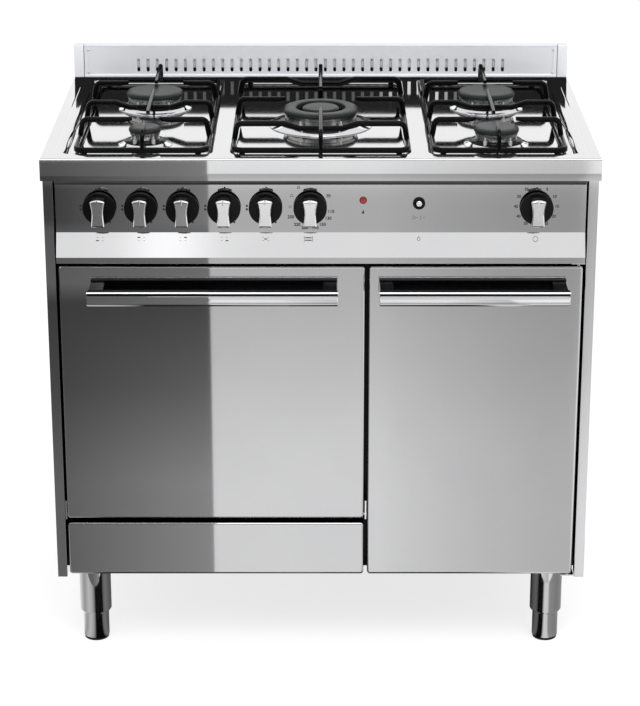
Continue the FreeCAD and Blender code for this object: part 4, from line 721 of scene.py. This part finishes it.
def support(name, left, right, fingers, bars, spine=None):
    """A support's parts: its frame, corner feet, thinned fingers and bars from side to side."""
    ring = rounded(oblong(left + edge, SUPPORT_FRONT + edge, right - edge, SUPPORT_BACK - edge), 16, steps=8)
    parts = [carried(bar_section, lifted(ring, "z", FRAME_LOW + BAR_THICK / 2), closed=True)]
    foot = rounded([(0, 874), (4.4, 874), (4.9, 874.8), (4.9, 879), (0, 879)], [0, 0.3, 0.3, 0, 0], steps=3)
    for x in (left + 18, right - 18):
        for y in (SUPPORT_FRONT + edge, SUPPORT_BACK - edge):
            parts.append(turned(foot, (x, y, 0), steps=20))
    parts += [thinned(bar_line(*finger), bar_section) for finger in fingers]
    parts += [carried(bar_section, bar_line(*bar)) for bar in bars]
    if spine:
        x, front, back = spine
        for tip in (front, back):
            parts.append(thinned(bar_line("y", x, (front + back) / 2, tip, None, True), bar_section))
    piece(name + "_support_bars", parts, "black_enamel", body=name + "_support",
          replaces=[name + "_pan_support"], sharp=50)


for side, sign in (("left", -1), ("right", 1)):
    left, right = sorted((sign * 180.0, sign * 400.0))
    x, rear, rear_radius, _ = BURNERS["rear_" + side]
    _, fore, fore_radius, _ = BURNERS["front_" + side]
    inner_left, inner_right = left + edge, right - edge
    support(side, left, right, [
        ("x", rear + 28, inner_left, x - rear_radius + 2), ("x", rear + 28, inner_right, x + rear_radius - 2),
        ("x", fore + 22, inner_left, x - fore_radius + 4), ("x", fore + 22, inner_right, x + fore_radius - 4),
        ("y", x, SUPPORT_BACK - edge, rear + 30), ("y", x, SUPPORT_FRONT + edge, fore - 14),
    ], [("x", -32, inner_left, inner_right, x)], spine=(x, fore + 64, rear - 35))
x, y, _, _ = BURNERS["middle"]
support("middle", -145.0, 145.0, [
    ("x", y + 30, -145 + edge, x - 60), ("x", y + 30, 145 - edge, x + 60),
    ("y", x, SUPPORT_BACK - edge, y + 104), ("y", x, SUPPORT_FRONT + edge, y - 45),
], [("x", y + 180, -145 + edge, 145 - edge, x), ("x", y - 139, -145 + edge, 145 - edge, x)])
print("supports: left, right, middle")

# %% [markdown]
# ## Doors and drawer front
#
# Each front is a folded pan of polished sheet: a flat face with softly rolled edges and walls
# that turn back. It is one outline, a rounded oblong, set back in steps: out at the wall, in by
# the roll's arc, and closed by the flat face. A solidify modifier gives the sheet its thickness.

# %% Folded pans
def pan(box, front, back, corner=5.0, roll=3.2, steps=6):
    """Outline rings from the back of the wall round the rolled edge to the flat face: at a turn a
    of the roll the ring is inset roll * (1 - cos a) and stands roll * (1 - sin a) behind the face.
    A last ring lies in the face itself, so that its shading stays flat."""
    left, low, right, high = box
    turn = np.linspace(0, math.pi / 2, steps)
    insets = np.concatenate([[0.0, 0.0], roll * (1 - np.cos(turn)), [roll + 0.8]])
    depths = np.concatenate([[back, front + roll + 0.8], front + roll * (1 - np.sin(turn)), [front]])
    rings = []
    for inset, depth in zip(insets, depths):
        ring = rounded(oblong(left + inset, low + inset, right - inset, high - inset),
                       max(corner - inset, 0.8), steps=6)
        rings.append(lifted(ring, "y", depth))
    return stacked(rings, closed=(-1,))


for node, body in (("oven_door_panel", "oven_door"), ("cabinet_door_panel", "cabinet_door"),
                   ("drawer_front", "drawer")):
    low, high = place_of(node)
    front = pan((low[0], low[2], high[0], high[2]), low[1], high[1])
    thicken(piece(node + "_skin", [front], "polished_steel", body=body, replaces=[node], sharp=60))
    print(node, "front", round(low[1], 1), "back", round(high[1], 1))

# %% [markdown]
# ## Handles
#
# A handle's bar has three parts: a plate of bright steel in front, bowed a little, a chromed lip
# along its top, and a black core behind both. Between lip and plate the core comes forward as a
# black band, which is painted shade: it stands for the dark groove under the lip. A steel bracket
# near each end holds it to the door. All are sections carried straight across, and the plate is
# closed by softened ends.

# %% Handles
BAR_DEEP, PLATE_DEEP, PLATE_DROP, LIP_TALL, LIP_SLANT = 20.0, 8.0, 6.3, 2.2, 1.27
BRACKET_WIDE, CORE_INSET = 24.0, 0.8


def handle_parts(node):
    """The bar's plate with its brackets, its lip and its core."""
    low, high = place_of(node)
    front, back, bottom, top = low[1], high[1], low[2], high[2]
    plate_back, plate_top, lip_low = front + PLATE_DEEP, top - PLATE_DROP, top - LIP_TALL
    section = rounded([(front + 2.8, bottom), (plate_back, bottom), (plate_back, plate_top),
                       (front + 0.9, plate_top), (front, bottom + 4.4)], [2.0, 0.6, 0.4, 0.5, 4.0], steps=5)
    middle = section.mean(axis=0)
    rings = [lifted(middle + (section - middle) * share, "x", place) for place, share in (
        (low[0], 0.86), (low[0] + 0.5, 0.95), (low[0] + 1.6, 1.0),
        (high[0] - 1.6, 1.0), (high[0] - 0.5, 0.95), (high[0], 0.86))]
    plate = [stacked(rings)]
    for start in (low[0] + 0.5, high[0] - BRACKET_WIDE - 0.5):
        block = rounded(oblong(start, bottom + 3.2, start + BRACKET_WIDE, top - 3.2), 2.5, steps=4)
        plate.append(extruded(block, front + BAR_DEEP - 2.5, back, "y"))
    lip = rounded([(front + 0.5, lip_low), (plate_back, lip_low), (plate_back, top),
                   (front + 0.5 + LIP_SLANT, top)], [0.2, 0.3, 0.3, 0.4], steps=3)
    core = rounded(oblong(plate_back - 0.6, bottom + 0.6, front + BAR_DEEP, top - 0.6),
                   [0.2, 1.6, 1.6, 0.2], steps=4)
    # the black band between lip and plate is painted shade for the groove under the lip
    shade_band = oblong(front + 1.6, plate_top - 0.5, plate_back, lip_low + 0.6)
    ends = low[0] + CORE_INSET, high[0] - CORE_INSET
    dark = [extruded(part, *ends, "x") for part in (core, shade_band)]
    return plate, [extruded(lip, low[0], high[0], "x")], dark


for node, body in (("oven_door_handle", "oven_door"), ("cabinet_door_handle", "cabinet_door")):
    plate, lip, core = handle_parts(node)
    piece(node + "_bar", plate, "polished_steel", body=body, replaces=[node], sharp=35)
    piece(node + "_lip", lip, "bright_chrome", body=body, replaces=[node], slot="polished_steel", sharp=35)
    piece(node + "_core_and_shade_band", core, "black_plastic", body=body, replaces=[node], sharp=35)
print("handles on oven_door and cabinet_door")

# %% [markdown]
# ## Knobs, lamp and button
#
# A knob is a black disc with a bright upright grip, narrow at the waist and arched at the top,
# whose edge is bevelled all round. The grip is a metal cover on a black neck, and a small rib at
# its top is the pointer. Discs, lamp and button are turned about the axis from front to back.

# %% Knobs
KNOB_NODES = {f"burner_knob_{n}": f"knob_{n}" for n in range(1, 6)}
KNOB_NODES.update(oven_knob="oven_dial", timer_knob="timer_dial")
DISC_FRONT, DISC_BACK = -284.0, -279.0
GRIP = [(-8.9, -2), (-10.6, -22.4), (0, -23.4), (10.6, -22.4), (8.9, -2), (9.6, 7), (11.9, 18.6),
        (10.4, 20.6), (0, 23.2), (-10.4, 20.6), (-11.9, 18.6), (-9.6, 7)]
GRIP_ROUND = [30, 1.6, 20, 1.6, 30, 20, 2.0, 2.0, 18, 2.0, 2.0, 20]
RIB = [(-1.5, 13.6), (1.5, 13.6), (1.5, 22.2), (-1.5, 22.2)]


def inset_rings(outline, steps):
    """Outline in the steps of (depth, inset), moved inwards along its corners' mean normals."""
    ahead = np.roll(outline, -1, 0) - np.roll(outline, 1, 0)
    ahead /= np.linalg.norm(ahead, axis=1)[:, None]
    inwards = np.stack([-ahead[:, 1], ahead[:, 0]], -1)
    return [lifted(outline + inset * inwards, "y", depth) for depth, inset in steps]


def grip_parts(place, steps):
    """Grip's outline carried through steps of (depth, inset). Each end is closed by a last ring
    drawn in to the upright middle line, where left and right points merge."""
    rings = inset_rings(rounded(GRIP, GRIP_ROUND, steps=5), steps)
    rings = [rings[0] * (0, 1, 1)] + rings + [rings[-1] * (0, 1, 1)]
    return [stacked([ring + place for ring in rings], closed=())]


for node, body in KNOB_NODES.items():
    x, z, front = face_of(node)
    place = (x, 0, z)
    disc = rounded([(0, DISC_BACK), (26.2, DISC_BACK), (27, DISC_BACK - 1), (27, DISC_FRONT + 1.2),
                    (25.6, DISC_FRONT), (0, DISC_FRONT - 0.4)], [0, 0.3, 0.5, 0.9, 1.2, 0], steps=4)
    neck = grip_parts(place, ((DISC_FRONT + 0.5, 0.4), (front + 4.2, 0.9), (front + 3.4, 1.4)))
    cover = grip_parts(place, ((front + 3.6, 0.6), (front + 3.4, 0.1), (front + 1.7, 0.0),
                               (front + 1.4, 0.15), (front + 0.3, 1.2), (front, 1.6), (front, 2.6)))
    rib = inset_rings(rounded(RIB, 1.3, steps=4), ((front + 1.6, 0.0), (front + 0.25, 0.0),
                                                   (front - 0.15, 0.35), (front - 0.3, 0.8)))
    of_knob = dict(body=body, replaces=[node], slot="knob_metal")
    piece(node + "_disc", [turned(disc, place, axis="y", steps=72)], "black_plastic", sharp=40, **of_knob)
    piece(node + "_neck", neck, "black_plastic", sharp=25, **of_knob)
    shade_flat(piece(node + "_grip", cover, "knob_metal", sharp=15, **of_knob))
    piece(node + "_pointer", [stacked([ring + place for ring in rib])], "knob_metal", sharp=25, **of_knob)
print("knobs", len(KNOB_NODES))

# %% Lamp and spark button
lamp_x, lamp_z, lamp_front = face_of("indicator_lamp")
lens = rounded([(0, -262), (4.6, -262), (4.6, -274), (5.6, -274), (5.6, -275), (4.9, lamp_front + 0.9),
                (0, lamp_front - 0.3)], [0, 0, 0, 0.3, 0.3, 1.6, 0], steps=4)
piece("lamp_lens", [turned(lens, (lamp_x, 0, lamp_z), axis="y", steps=40)], "lamp_red",
      replaces=["indicator_lamp"], sharp=50)
rim = rounded([(4.3, -273), (6.0, -273), (6.0, -275.0), (5.4, -275.7), (4.3, -275.9)],
              [0, 0, 0.4, 0.4, 0.4], steps=3)
piece("lamp_rim", [turned(rim, (lamp_x, 0, lamp_z), axis="y", steps=40, hollow=True)], "black_plastic",
      replaces=["indicator_lamp"], slot="lamp_red", sharp=50)
button_x, button_z, _ = face_of("button_ring")
collar_and_shade_ring = rounded([(6.6, -262), (7.7, -262), (7.7, -274), (10, -274), (10, -276.6), (8.9, -278), (6.6, -278)],
                 [0, 0, 0, 0.2, 0.8, 0.8, 0.6], steps=4)
piece("button_collar", [turned(collar_and_shade_ring, (button_x, 0, button_z), axis="y", steps=48, hollow=True)],
      "black_plastic", replaces=["button_ring"], sharp=50)
cap = rounded([(0, -264), (5.8, -264), (5.8, -276.5), (4.4, -279.4), (0, -279.8)],
              [0, 0, 2.0, 2.6, 0], steps=5)
piece("button_cap", [turned(cap, (button_x, 0, button_z), axis="y", steps=40)], "bright_chrome",
      body="spark_push", replaces=["spark_button"], sharp=50)

# %% [markdown]
# ## Feet
#
# A foot is a polished tube that winds out of a wider sleeve, which has a sloped lower edge, and
# stands on a thin black pad. All three are turned profiles on one axis.

# %% Feet
FOOT_PLACES = {"front_left": (-391, -210), "front_right": (391, -210), "rear_left": (-391, 240),
               "rear_right": (391, 240)}
sleeve = rounded([(22.4, 134), (22.4, 52), (24.6, 52), (27, 55.5), (27, 139.8), (22.4, 139.8)],
                 [0, 0.3, 0.8, 1.2, 0.3, 0], steps=4)
leg = rounded([(0, 4), (20.6, 4), (22, 5.4), (22, 118), (0, 118)], [0, 0.5, 1, 0.4, 0], steps=4)
pad = rounded([(0, 0), (20.4, 0), (21, 0.8), (21, 4), (0, 4)], [0, 0.4, 0.5, 0.2, 0], steps=3)
for name, (x, y) in FOOT_PLACES.items():
    of_foot = dict(body=name + "_leg", replaces=[name + "_foot"], slot="polished_steel", sharp=50)
    piece(name + "_leg_tube", [turned(leg, (x, y, 0), steps=72)], "polished_steel", **of_foot)
    piece(name + "_leg_pad", [turned(pad, (x, y, 0), steps=72)], "black_plastic", **of_foot)
piece("sleeve_tubes", [turned(sleeve, (x, y, 0), steps=72, hollow=True) for x, y in FOOT_PLACES.values()],
      "polished_steel", replaces=["foot_sleeves"], sharp=50)
print("feet", list(FOOT_PLACES))

# %% [markdown]
# ## Printed marks
#
# The panel carries only general marks: dots that show which burner a knob feeds, temperatures
# round the oven knob and minutes round the timer. Numbers come from a text object that is made
# a mesh at once; each mark is a thin closed solid that lies on the panel or the sloped strip.

# %% Marks on the panel
PANEL_FACE, INK_THICK, INK_ROOT = -274.0, 0.07, 0.4
KNOB_Z = 796.0
STRIP_Z, STRIP_FACE, STRIP_SLOPE = 744.1, -278.2, 0.421
print_parts = []


def put_number(text, x, z, tall):
    """A number's mesh, centred on (x, z) of the panel, with digits of the given height."""
    curve = bpy.data.curves.new("number", "FONT")
    curve.body, curve.align_x, curve.align_y, curve.size = text, "CENTER", "CENTER", 1.0
    curve.extrude, curve.offset, curve.resolution_u = 0.03, 0.034, 3
    holder = bpy.data.objects.new("number", curve)
    bpy.context.scene.collection.objects.link(holder)
    mesh = bpy.data.meshes.new_from_object(holder.evaluated_get(bpy.context.evaluated_depsgraph_get()))
    flat = np.empty(len(mesh.vertices) * 3)
    mesh.vertices.foreach_get("co", flat)
    flat = flat.reshape(-1, 3) * tall / 0.7
    faces = [np.array(face.vertices)[None] for face in mesh.polygons]
    bpy.data.objects.remove(holder)
    points = [x + flat[:, 0], PANEL_FACE - INK_THICK / 2 - flat[:, 2], z + flat[:, 1]]
    print_parts.append((np.stack(points, -1), faces))


def put_dot(x, z, radius):
    disc = [(0, PANEL_FACE + INK_ROOT), (radius, PANEL_FACE + INK_ROOT), (radius, PANEL_FACE - INK_THICK),
            (0, PANEL_FACE - INK_THICK)]
    print_parts.append(turned(disc, (x, 0, z), axis="y", steps=20))


def put_ring(x, z, inner, outer, y=PANEL_FACE, slope=0.0):
    """Ring line; on a sloped face its y grows by slope * (height above the ring's middle)."""
    section = [(inner, y + INK_ROOT), (outer, y + INK_ROOT), (outer, y - INK_THICK), (inner, y - INK_THICK)]
    points, faces = turned(section, (x, 0, z), axis="y", steps=32, hollow=True)
    points[:, 1] += slope * (points[:, 2] - z)
    print_parts.append((points, faces))


def put_frame(x, z, wide, tall, line):
    """Rounded oblong drawn as a line: four rings joined in a closed grid."""
    across, up = wide / 2, tall / 2
    outer = rounded(oblong(-across, -up, across, up), 1.4, steps=4)
    inner = rounded(oblong(-across + line, -up + line, across - line, up - line), 0.9, steps=4)
    rings = [lifted(outline, "y", PANEL_FACE + lift) + (x, 0, z) for outline, lift in
             ((inner, INK_ROOT), (outer, INK_ROOT), (outer, -INK_THICK), (inner, -INK_THICK))]
    print_parts.append(stacked(rings, closed=(), wrap=True))


def put_bar(x, rise, wide, tall):
    """Small filled oblong on the strip, whose depth follows the slope."""
    z = STRIP_Z + rise
    outline = np.array(oblong(x - wide / 2, z - tall / 2, x + wide / 2, z + tall / 2))
    face = STRIP_FACE + STRIP_SLOPE * (outline[:, 1] - STRIP_Z)
    print_parts.append(stacked([np.stack([outline[:, 0], face + lift, outline[:, 1]], -1)
                                for lift in (INK_ROOT, -INK_THICK)]))


def put_stroke(start, end, wide):
    """Straight line between two places of the panel: an oblong turned along it."""
    start, end = np.array(start, float), np.array(end, float)
    along = (end - start) / np.linalg.norm(end - start)
    side = np.array([-along[1], along[0]]) * wide / 2
    outline = [start + side, start - side, end - side, end + side]
    print_parts.append(extruded(outline, PANEL_FACE + INK_ROOT, PANEL_FACE - INK_THICK, "y"))


knob_x = {node: face_of(node)[0] for node in KNOB_NODES}
oven_x, timer_x = knob_x["oven_knob"], knob_x["timer_knob"]
for text, across, rise in (("70", 29.3, 18.9), ("110", 33.6, -7.0), ("130", 29.2, -18.4),
                           ("150", 19.9, -28.8), ("170", 8.2, -34.5), ("200", -8.9, -34.4),
                           ("220", -21.0, -28.8), ("250", -31.2, -16.0)):
    put_number(text, oven_x + across, KNOB_Z + rise, 5.0)
put_ring(oven_x - 18.8, KNOB_Z + 33.3, 1.5, 2.4)
for across, rise in ((-29.9, 19.7), (-32.2, 0.9)):
    put_frame(oven_x + across, KNOB_Z + rise, 4.6, 4.0, 0.6)
for step in range(1, 12):
    a = math.radians(30 * step)
    put_number(str(5 * step), timer_x + 33 * math.sin(a), KNOB_Z + 1.6 + 33 * math.cos(a), 4.7)
put_dot(timer_x, KNOB_Z + 33, 1.1)
put_ring(timer_x - 0.5, STRIP_Z, 3.7, 4.4, STRIP_FACE, STRIP_SLOPE)
dash_places = {1: (-1, -1), 2: (-1, 1), 3: (1, 1), 4: (1, -1), 5: (0, 0)}
for number, (across, rise) in dash_places.items():
    x = knob_x[f"burner_knob_{number}"]
    for dot_across, dot_rise, radius in ((-30.2, 2.6, 1.9), (-30.3, -3.2, 1.9), (1.2, 33.4, 1.3),
                                         (16.4, -25.0, 1.6)):
        put_dot(x + dot_across, KNOB_Z + dot_rise, radius)
    for i in (-1, 1):
        for j in (-1, 1):
            if (i, j) != (across, rise):
                put_bar(x + 4.2 * i, 2.4 * j, 2.6, 0.5)
    put_bar(x + 4.2 * across, 2.4 * rise, 4.6, 1.6)
for rise in (-1.9, 1.9):
    put_bar(oven_x - 3, rise, 10.5, 1.5)
for side in (-6.6, 6.6):
    put_bar(oven_x - 3 + side, 0, 0.7, 8.6)
put_dot(lamp_x, lamp_z - 20.8, 2.0)
put_stroke((lamp_x - 0.2, lamp_z - 19.5), (lamp_x + 0.5, lamp_z - 16.4), 1.6)
mark_z = button_z - 24.0
for start, end in (((-9.6, 3.2), (-9.6, -3.2)), ((-9.6, 3.2), (-3.8, 0)), ((-9.6, -3.2), (-3.8, 0)),
                   ((-2.2, 1.0), (-2.2, -1.0)), ((1.2, 3.2), (3.2, 1.6)), ((3.2, 1.6), (3.2, -1.6)),
                   ((3.2, -1.6), (1.2, -3.2)), ((8.4, 1.8), (8.4, -1.8))):
    put_stroke((button_x + start[0], mark_z + start[1]), (button_x + end[0], mark_z + end[1]), 0.5)
put_ring(button_x, STRIP_Z, 2.0, 2.7, STRIP_FACE, STRIP_SLOPE)
put_bar(button_x, 3.9, 1.0, 1.2)
piece("printed_marks", print_parts, "printed_ink", slot="black_plastic", sharp=20)

# %% [markdown]
# ## Studio
#
# Polished steel shows its surroundings and little else, so the studio is part of the likeness:
# a pale floor that runs into a white background, one large soft light above, and cards that only
# mirrors see. A card at the left darkens that side of the doors, and others give the hob, the
# handles, the sloped strip and the feet what they show in the photograph.

# %% Stage cards
def lying(left, front, right, back, z):
    return [(left, front, z), (right, front, z), (right, back, z), (left, back, z)]


def upright(left, right, y, low, high):
    return [(left, y, low), (right, y, low), (right, y, high), (left, y, high)]


def stage_plane(name, corners, emission=0.0, diffuse=0.0, glossy_only=True):
    """Flat card of the studio with an even glow; glossy_only cards are seen by mirrors alone."""
    mesh = bpy.data.meshes.new(name)
    mesh.from_pydata(corners, [], [(0, 1, 2, 3)])
    item = bpy.data.objects.new(name, mesh)
    bpy.context.scene.collection.objects.link(item)
    material = bpy.data.materials.new(name)
    material.use_nodes = True
    shader = material.node_tree.nodes["Principled BSDF"]
    for title, value in {"Base Color": (diffuse, diffuse, diffuse, 1), "Roughness": 1.0,
                         "Specular IOR Level": 0.0, "Emission Color": (1, 1, 1, 1),
                         "Emission Strength": emission}.items():
        shader.inputs[title].default_value = value
    mesh.materials.append(material)
    if glossy_only:
        item.visible_camera = item.visible_diffuse = item.visible_shadow = item.visible_transmission = False
    return item


def ramp_of(tree, value, low, high, stops):
    """Grey read off a colour ramp whose (place, level) stops lie between two ends of a value."""
    share = node_in(tree, "ShaderNodeMapRange", {"Value": value, "From Min": low, "From Max": high})
    ramp = node_in(tree, "ShaderNodeValToRGB", {"Fac": share.outputs[0]})
    marks = ramp.color_ramp.elements
    while len(marks) < len(stops):
        marks.new(0.5)
    for mark, (place, level) in zip(marks, stops):
        mark.position, mark.color = (place - low) / (high - low), (level / 2, level / 2, level / 2, 1)
    return maths(tree, "MULTIPLY", ramp.outputs["Color"], 2.0)


def glow(item, make):
    """Gives a card a glow that changes over it: make(tree, x, y, z) returns the strength."""
    tree = item.active_material.node_tree
    where = node_in(tree, "ShaderNodeTexCoord").outputs["Object"]
    place = node_in(tree, "ShaderNodeSeparateXYZ", {"Vector": where})
    tree.links.new(make(tree, *place.outputs), tree.nodes["Principled BSDF"].inputs["Emission Strength"])


# %% Floor and what the doors mirror
DOOR_FACE, DOOR_TO_CAMERA = -0.27, 3.715
stage_plane("floor", lying(-12, -12, 12, 12, 0), 0.72, 0.35, glossy_only=False)


def floor_glow(tree, x, y, z):
    """Row level by distance in front, times a column level by the door column that mirrors it."""
    rows = ramp_of(tree, y, -3.7, DOOR_FACE, [
        (-3.7, 1.32), (-3.31, 1.3), (-3.28, 0.69), (-2.9, 0.69), (-2.55, 0.73),
        (-2.2, 0.77), (-1.76, 0.87), (-1.5, 0.96), (-1.2, 1.06), (-0.9, 1.1)])
    away = maths(tree, "SUBTRACT", DOOR_FACE, y)
    spread = maths(tree, "MULTIPLY_ADD", away, 1 / DOOR_TO_CAMERA, 1.0)
    columns = ramp_of(tree, maths(tree, "DIVIDE", x, spread), 0.0, 0.5, [
        (0.0, 1.0), (0.1, 0.99), (0.13, 0.93), (0.21, 0.84), (0.29, 0.76),
        (0.37, 0.70), (0.4295, 0.68), (0.431, 1.1)])
    return maths(tree, "MULTIPLY", rows, columns)


glow(stage_plane("mirrored_floor", lying(-6, -6, 6, -0.3, 0.002)), floor_glow)


def foot_glow(foot_x, foot_y, stops):
    """Level by direction from a foot: the part of the tube that faces a turn a mirrors the floor
    at turn 2a, so a glow that changes with direction alone draws upright streaks."""
    def make(tree, x, y, z):
        turn = maths(tree, "ARCTAN2", maths(tree, "SUBTRACT", x, foot_x), maths(tree, "SUBTRACT", foot_y, y))
        return ramp_of(tree, turn, -math.pi, math.pi, [(math.radians(a), level) for a, level in stops])
    return make


for name, side, stops in (
        ("left_foot_floor", -1, [(-180, 0.9), (-121, 1.0), (-90, 0.6), (-76, 0.5), (-43, 0.8), (-20, 0.6),
                                 (-6, 0.28), (2, 0.004), (50, 0.004), (60, 0.2), (76, 0.26), (121, 0.14),
                                 (180, 0.14)]),
        ("right_foot_floor", 1, [(-180, 0.05), (-130, 0.05), (-90, 0.17), (-70, 0.17), (-55, 0.005),
                                 (-25, 0.005), (-12, 1.0), (10, 1.0), (22, 0.42), (76, 0.33), (130, 0.42),
                                 (180, 0.42)])):
    card = stage_plane(name, lying(min(0, side * 3.0), -0.56, max(0, side * 3.0), 1.5, 0.0035))
    glow(card, foot_glow(side * 0.391, -0.21, stops))


def left_glow(tree, x, y, z):
    """Level by height at the card's left and right sides, mixed by the place across."""
    left, right = [ramp_of(tree, z, 0.0, 0.82, list(zip(
        (0.0, 0.12, 0.21, 0.30, 0.39, 0.55, 0.585, 0.68, 0.70, 0.758, 0.768), levels))) for levels in (
            (0.185, 0.19, 0.185, 0.143, 0.10, 0.072, 0.18, 0.15, 0.075, 0.075, 0.14),
            (0.40, 0.40, 0.40, 0.29, 0.19, 0.092, 0.26, 0.24, 0.30, 0.30, 0.33))]
    share = node_in(tree, "ShaderNodeMapRange", {"Value": x, "From Min": -0.46, "From Max": -0.193})
    return maths(tree, "MULTIPLY_ADD", maths(tree, "SUBTRACT", right, left), share.outputs[0], left)


glow(stage_plane("left_card", upright(-3.0, -0.193, -0.52, 0.003, 0.82)), left_glow)

# %% Cards that the top, the handles and the sloped strip mirror
stage_plane("front_band", upright(-5, 5, -6.5, 0.9, 3.2), 0.02)


def overhead_glow(tree, x, y, z):
    """Even glow with one brighter stripe: extra where the place across is near the stripe's middle."""
    off = maths(tree, "ABSOLUTE", maths(tree, "ADD", x, 0.465))
    extra = ramp_of(tree, off, 0.0, 0.5, [(0.0, 0.5), (0.05, 0.45), (0.16, 0.08), (0.3, 0.0)])
    return maths(tree, "ADD", extra, 1.24)


glow(stage_plane("high_card", upright(-3, 3, -3.3, 2.07, 3.7)), overhead_glow)
stage_plane("back_card", upright(-6, 6, 5, 0.9, 4), 1.28)

# %% [markdown]
# In the photograph the hob mirrors the upstand as black with paler vents, because seen from below
# the upstand shows the dark room in front and the white room through its vents. A flag just in
# front of it, seen by mirrors alone and only from its front, gives the hob the same picture.

# %% Flag before the upstand
flag = stage_plane("upstand_flag", upright(-0.449, 0.449, 0.2925, 0.8805, 0.938))


def vent_glow(tree, x, y, z):
    """Glow where the place across, taken within one pitch, and the height both lie in a vent, by
    a level that changes along the row."""
    half_pitch = VENT_PITCH * MM / 2
    turn = maths(tree, "WRAP", maths(tree, "ADD", x, half_pitch), half_pitch, -half_pitch)
    near = maths(tree, "LESS_THAN", maths(tree, "ABSOLUTE", turn), VENT_HALF * MM)
    level = maths(tree, "ABSOLUTE", maths(tree, "SUBTRACT", z, (VENT_LOW + VENT_HIGH) / 2 * MM))
    tall = maths(tree, "LESS_THAN", level, (VENT_HIGH - VENT_LOW) / 2 * MM)
    inside = maths(tree, "LESS_THAN", maths(tree, "ABSOLUTE", x), HALF_ROW * MM)
    vents = maths(tree, "MULTIPLY", maths(tree, "MULTIPLY", near, tall), inside)
    across = ramp_of(tree, x, -0.45, 0.45, [(-0.45, 0.1), (-0.2, 0.12), (-0.185, 0.12), (0.1, 0.12),
                                            (0.13, 0.7), (0.2, 1.2), (0.24, 0.2), (0.45, 0.1)])
    return maths(tree, "ADD", maths(tree, "MULTIPLY", vents, across), 0.02)


glow(flag, vent_glow)
tree = flag.active_material.node_tree
clear = node_in(tree, "ShaderNodeBsdfTransparent")
back_side = node_in(tree, "ShaderNodeNewGeometry").outputs["Backfacing"]
one_sided = node_in(tree, "ShaderNodeMixShader", {"Fac": back_side})
tree.links.new(tree.nodes["Principled BSDF"].outputs[0], one_sided.inputs[1])
tree.links.new(clear.outputs[0], one_sided.inputs[2])
tree.links.new(one_sided.outputs[0], tree.nodes["Material Output"].inputs["Surface"])

# %% Room and light
world = bpy.data.worlds.new("White room")
world.use_nodes = True
world.node_tree.nodes["Background"].inputs["Color"].default_value = (1, 1, 1, 1)
world.node_tree.nodes["Background"].inputs["Strength"].default_value = 0.95
bpy.context.scene.world = world
lamp = bpy.data.lights.new("Soft light", "AREA")
lamp.shape, lamp.size, lamp.size_y, lamp.energy = "RECTANGLE", 3.0, 1.6, 60
light = bpy.data.objects.new("Soft light", lamp)
light.location, light.rotation_euler = (0.4, -2.2, 3.2), (math.radians(35), 0, 0)
bpy.context.scene.collection.objects.link(light)
bpy.context.scene.view_settings.view_transform = "Standard"

# %% [markdown]
# ## Camera
#
# The photograph looks down a little from well in front, with a long lens. The focal length is in
# the same units as the 36 mm sensor, which spans the longer side of the picture.

# %% Camera
camera_data = bpy.data.cameras.new("Camera")
camera_data.sensor_width, camera_data.lens = 36.0, 121.89
camera = bpy.data.objects.new("Camera", camera_data)
camera.location = (-0.00116, -3.985, 1.86803)
camera.rotation_euler = (math.radians(90 - 19.598), 0, 0)
bpy.context.scene.collection.objects.link(camera)
bpy.context.scene.camera = camera
print("camera at", tuple(round(v, 3) for v in camera.location))
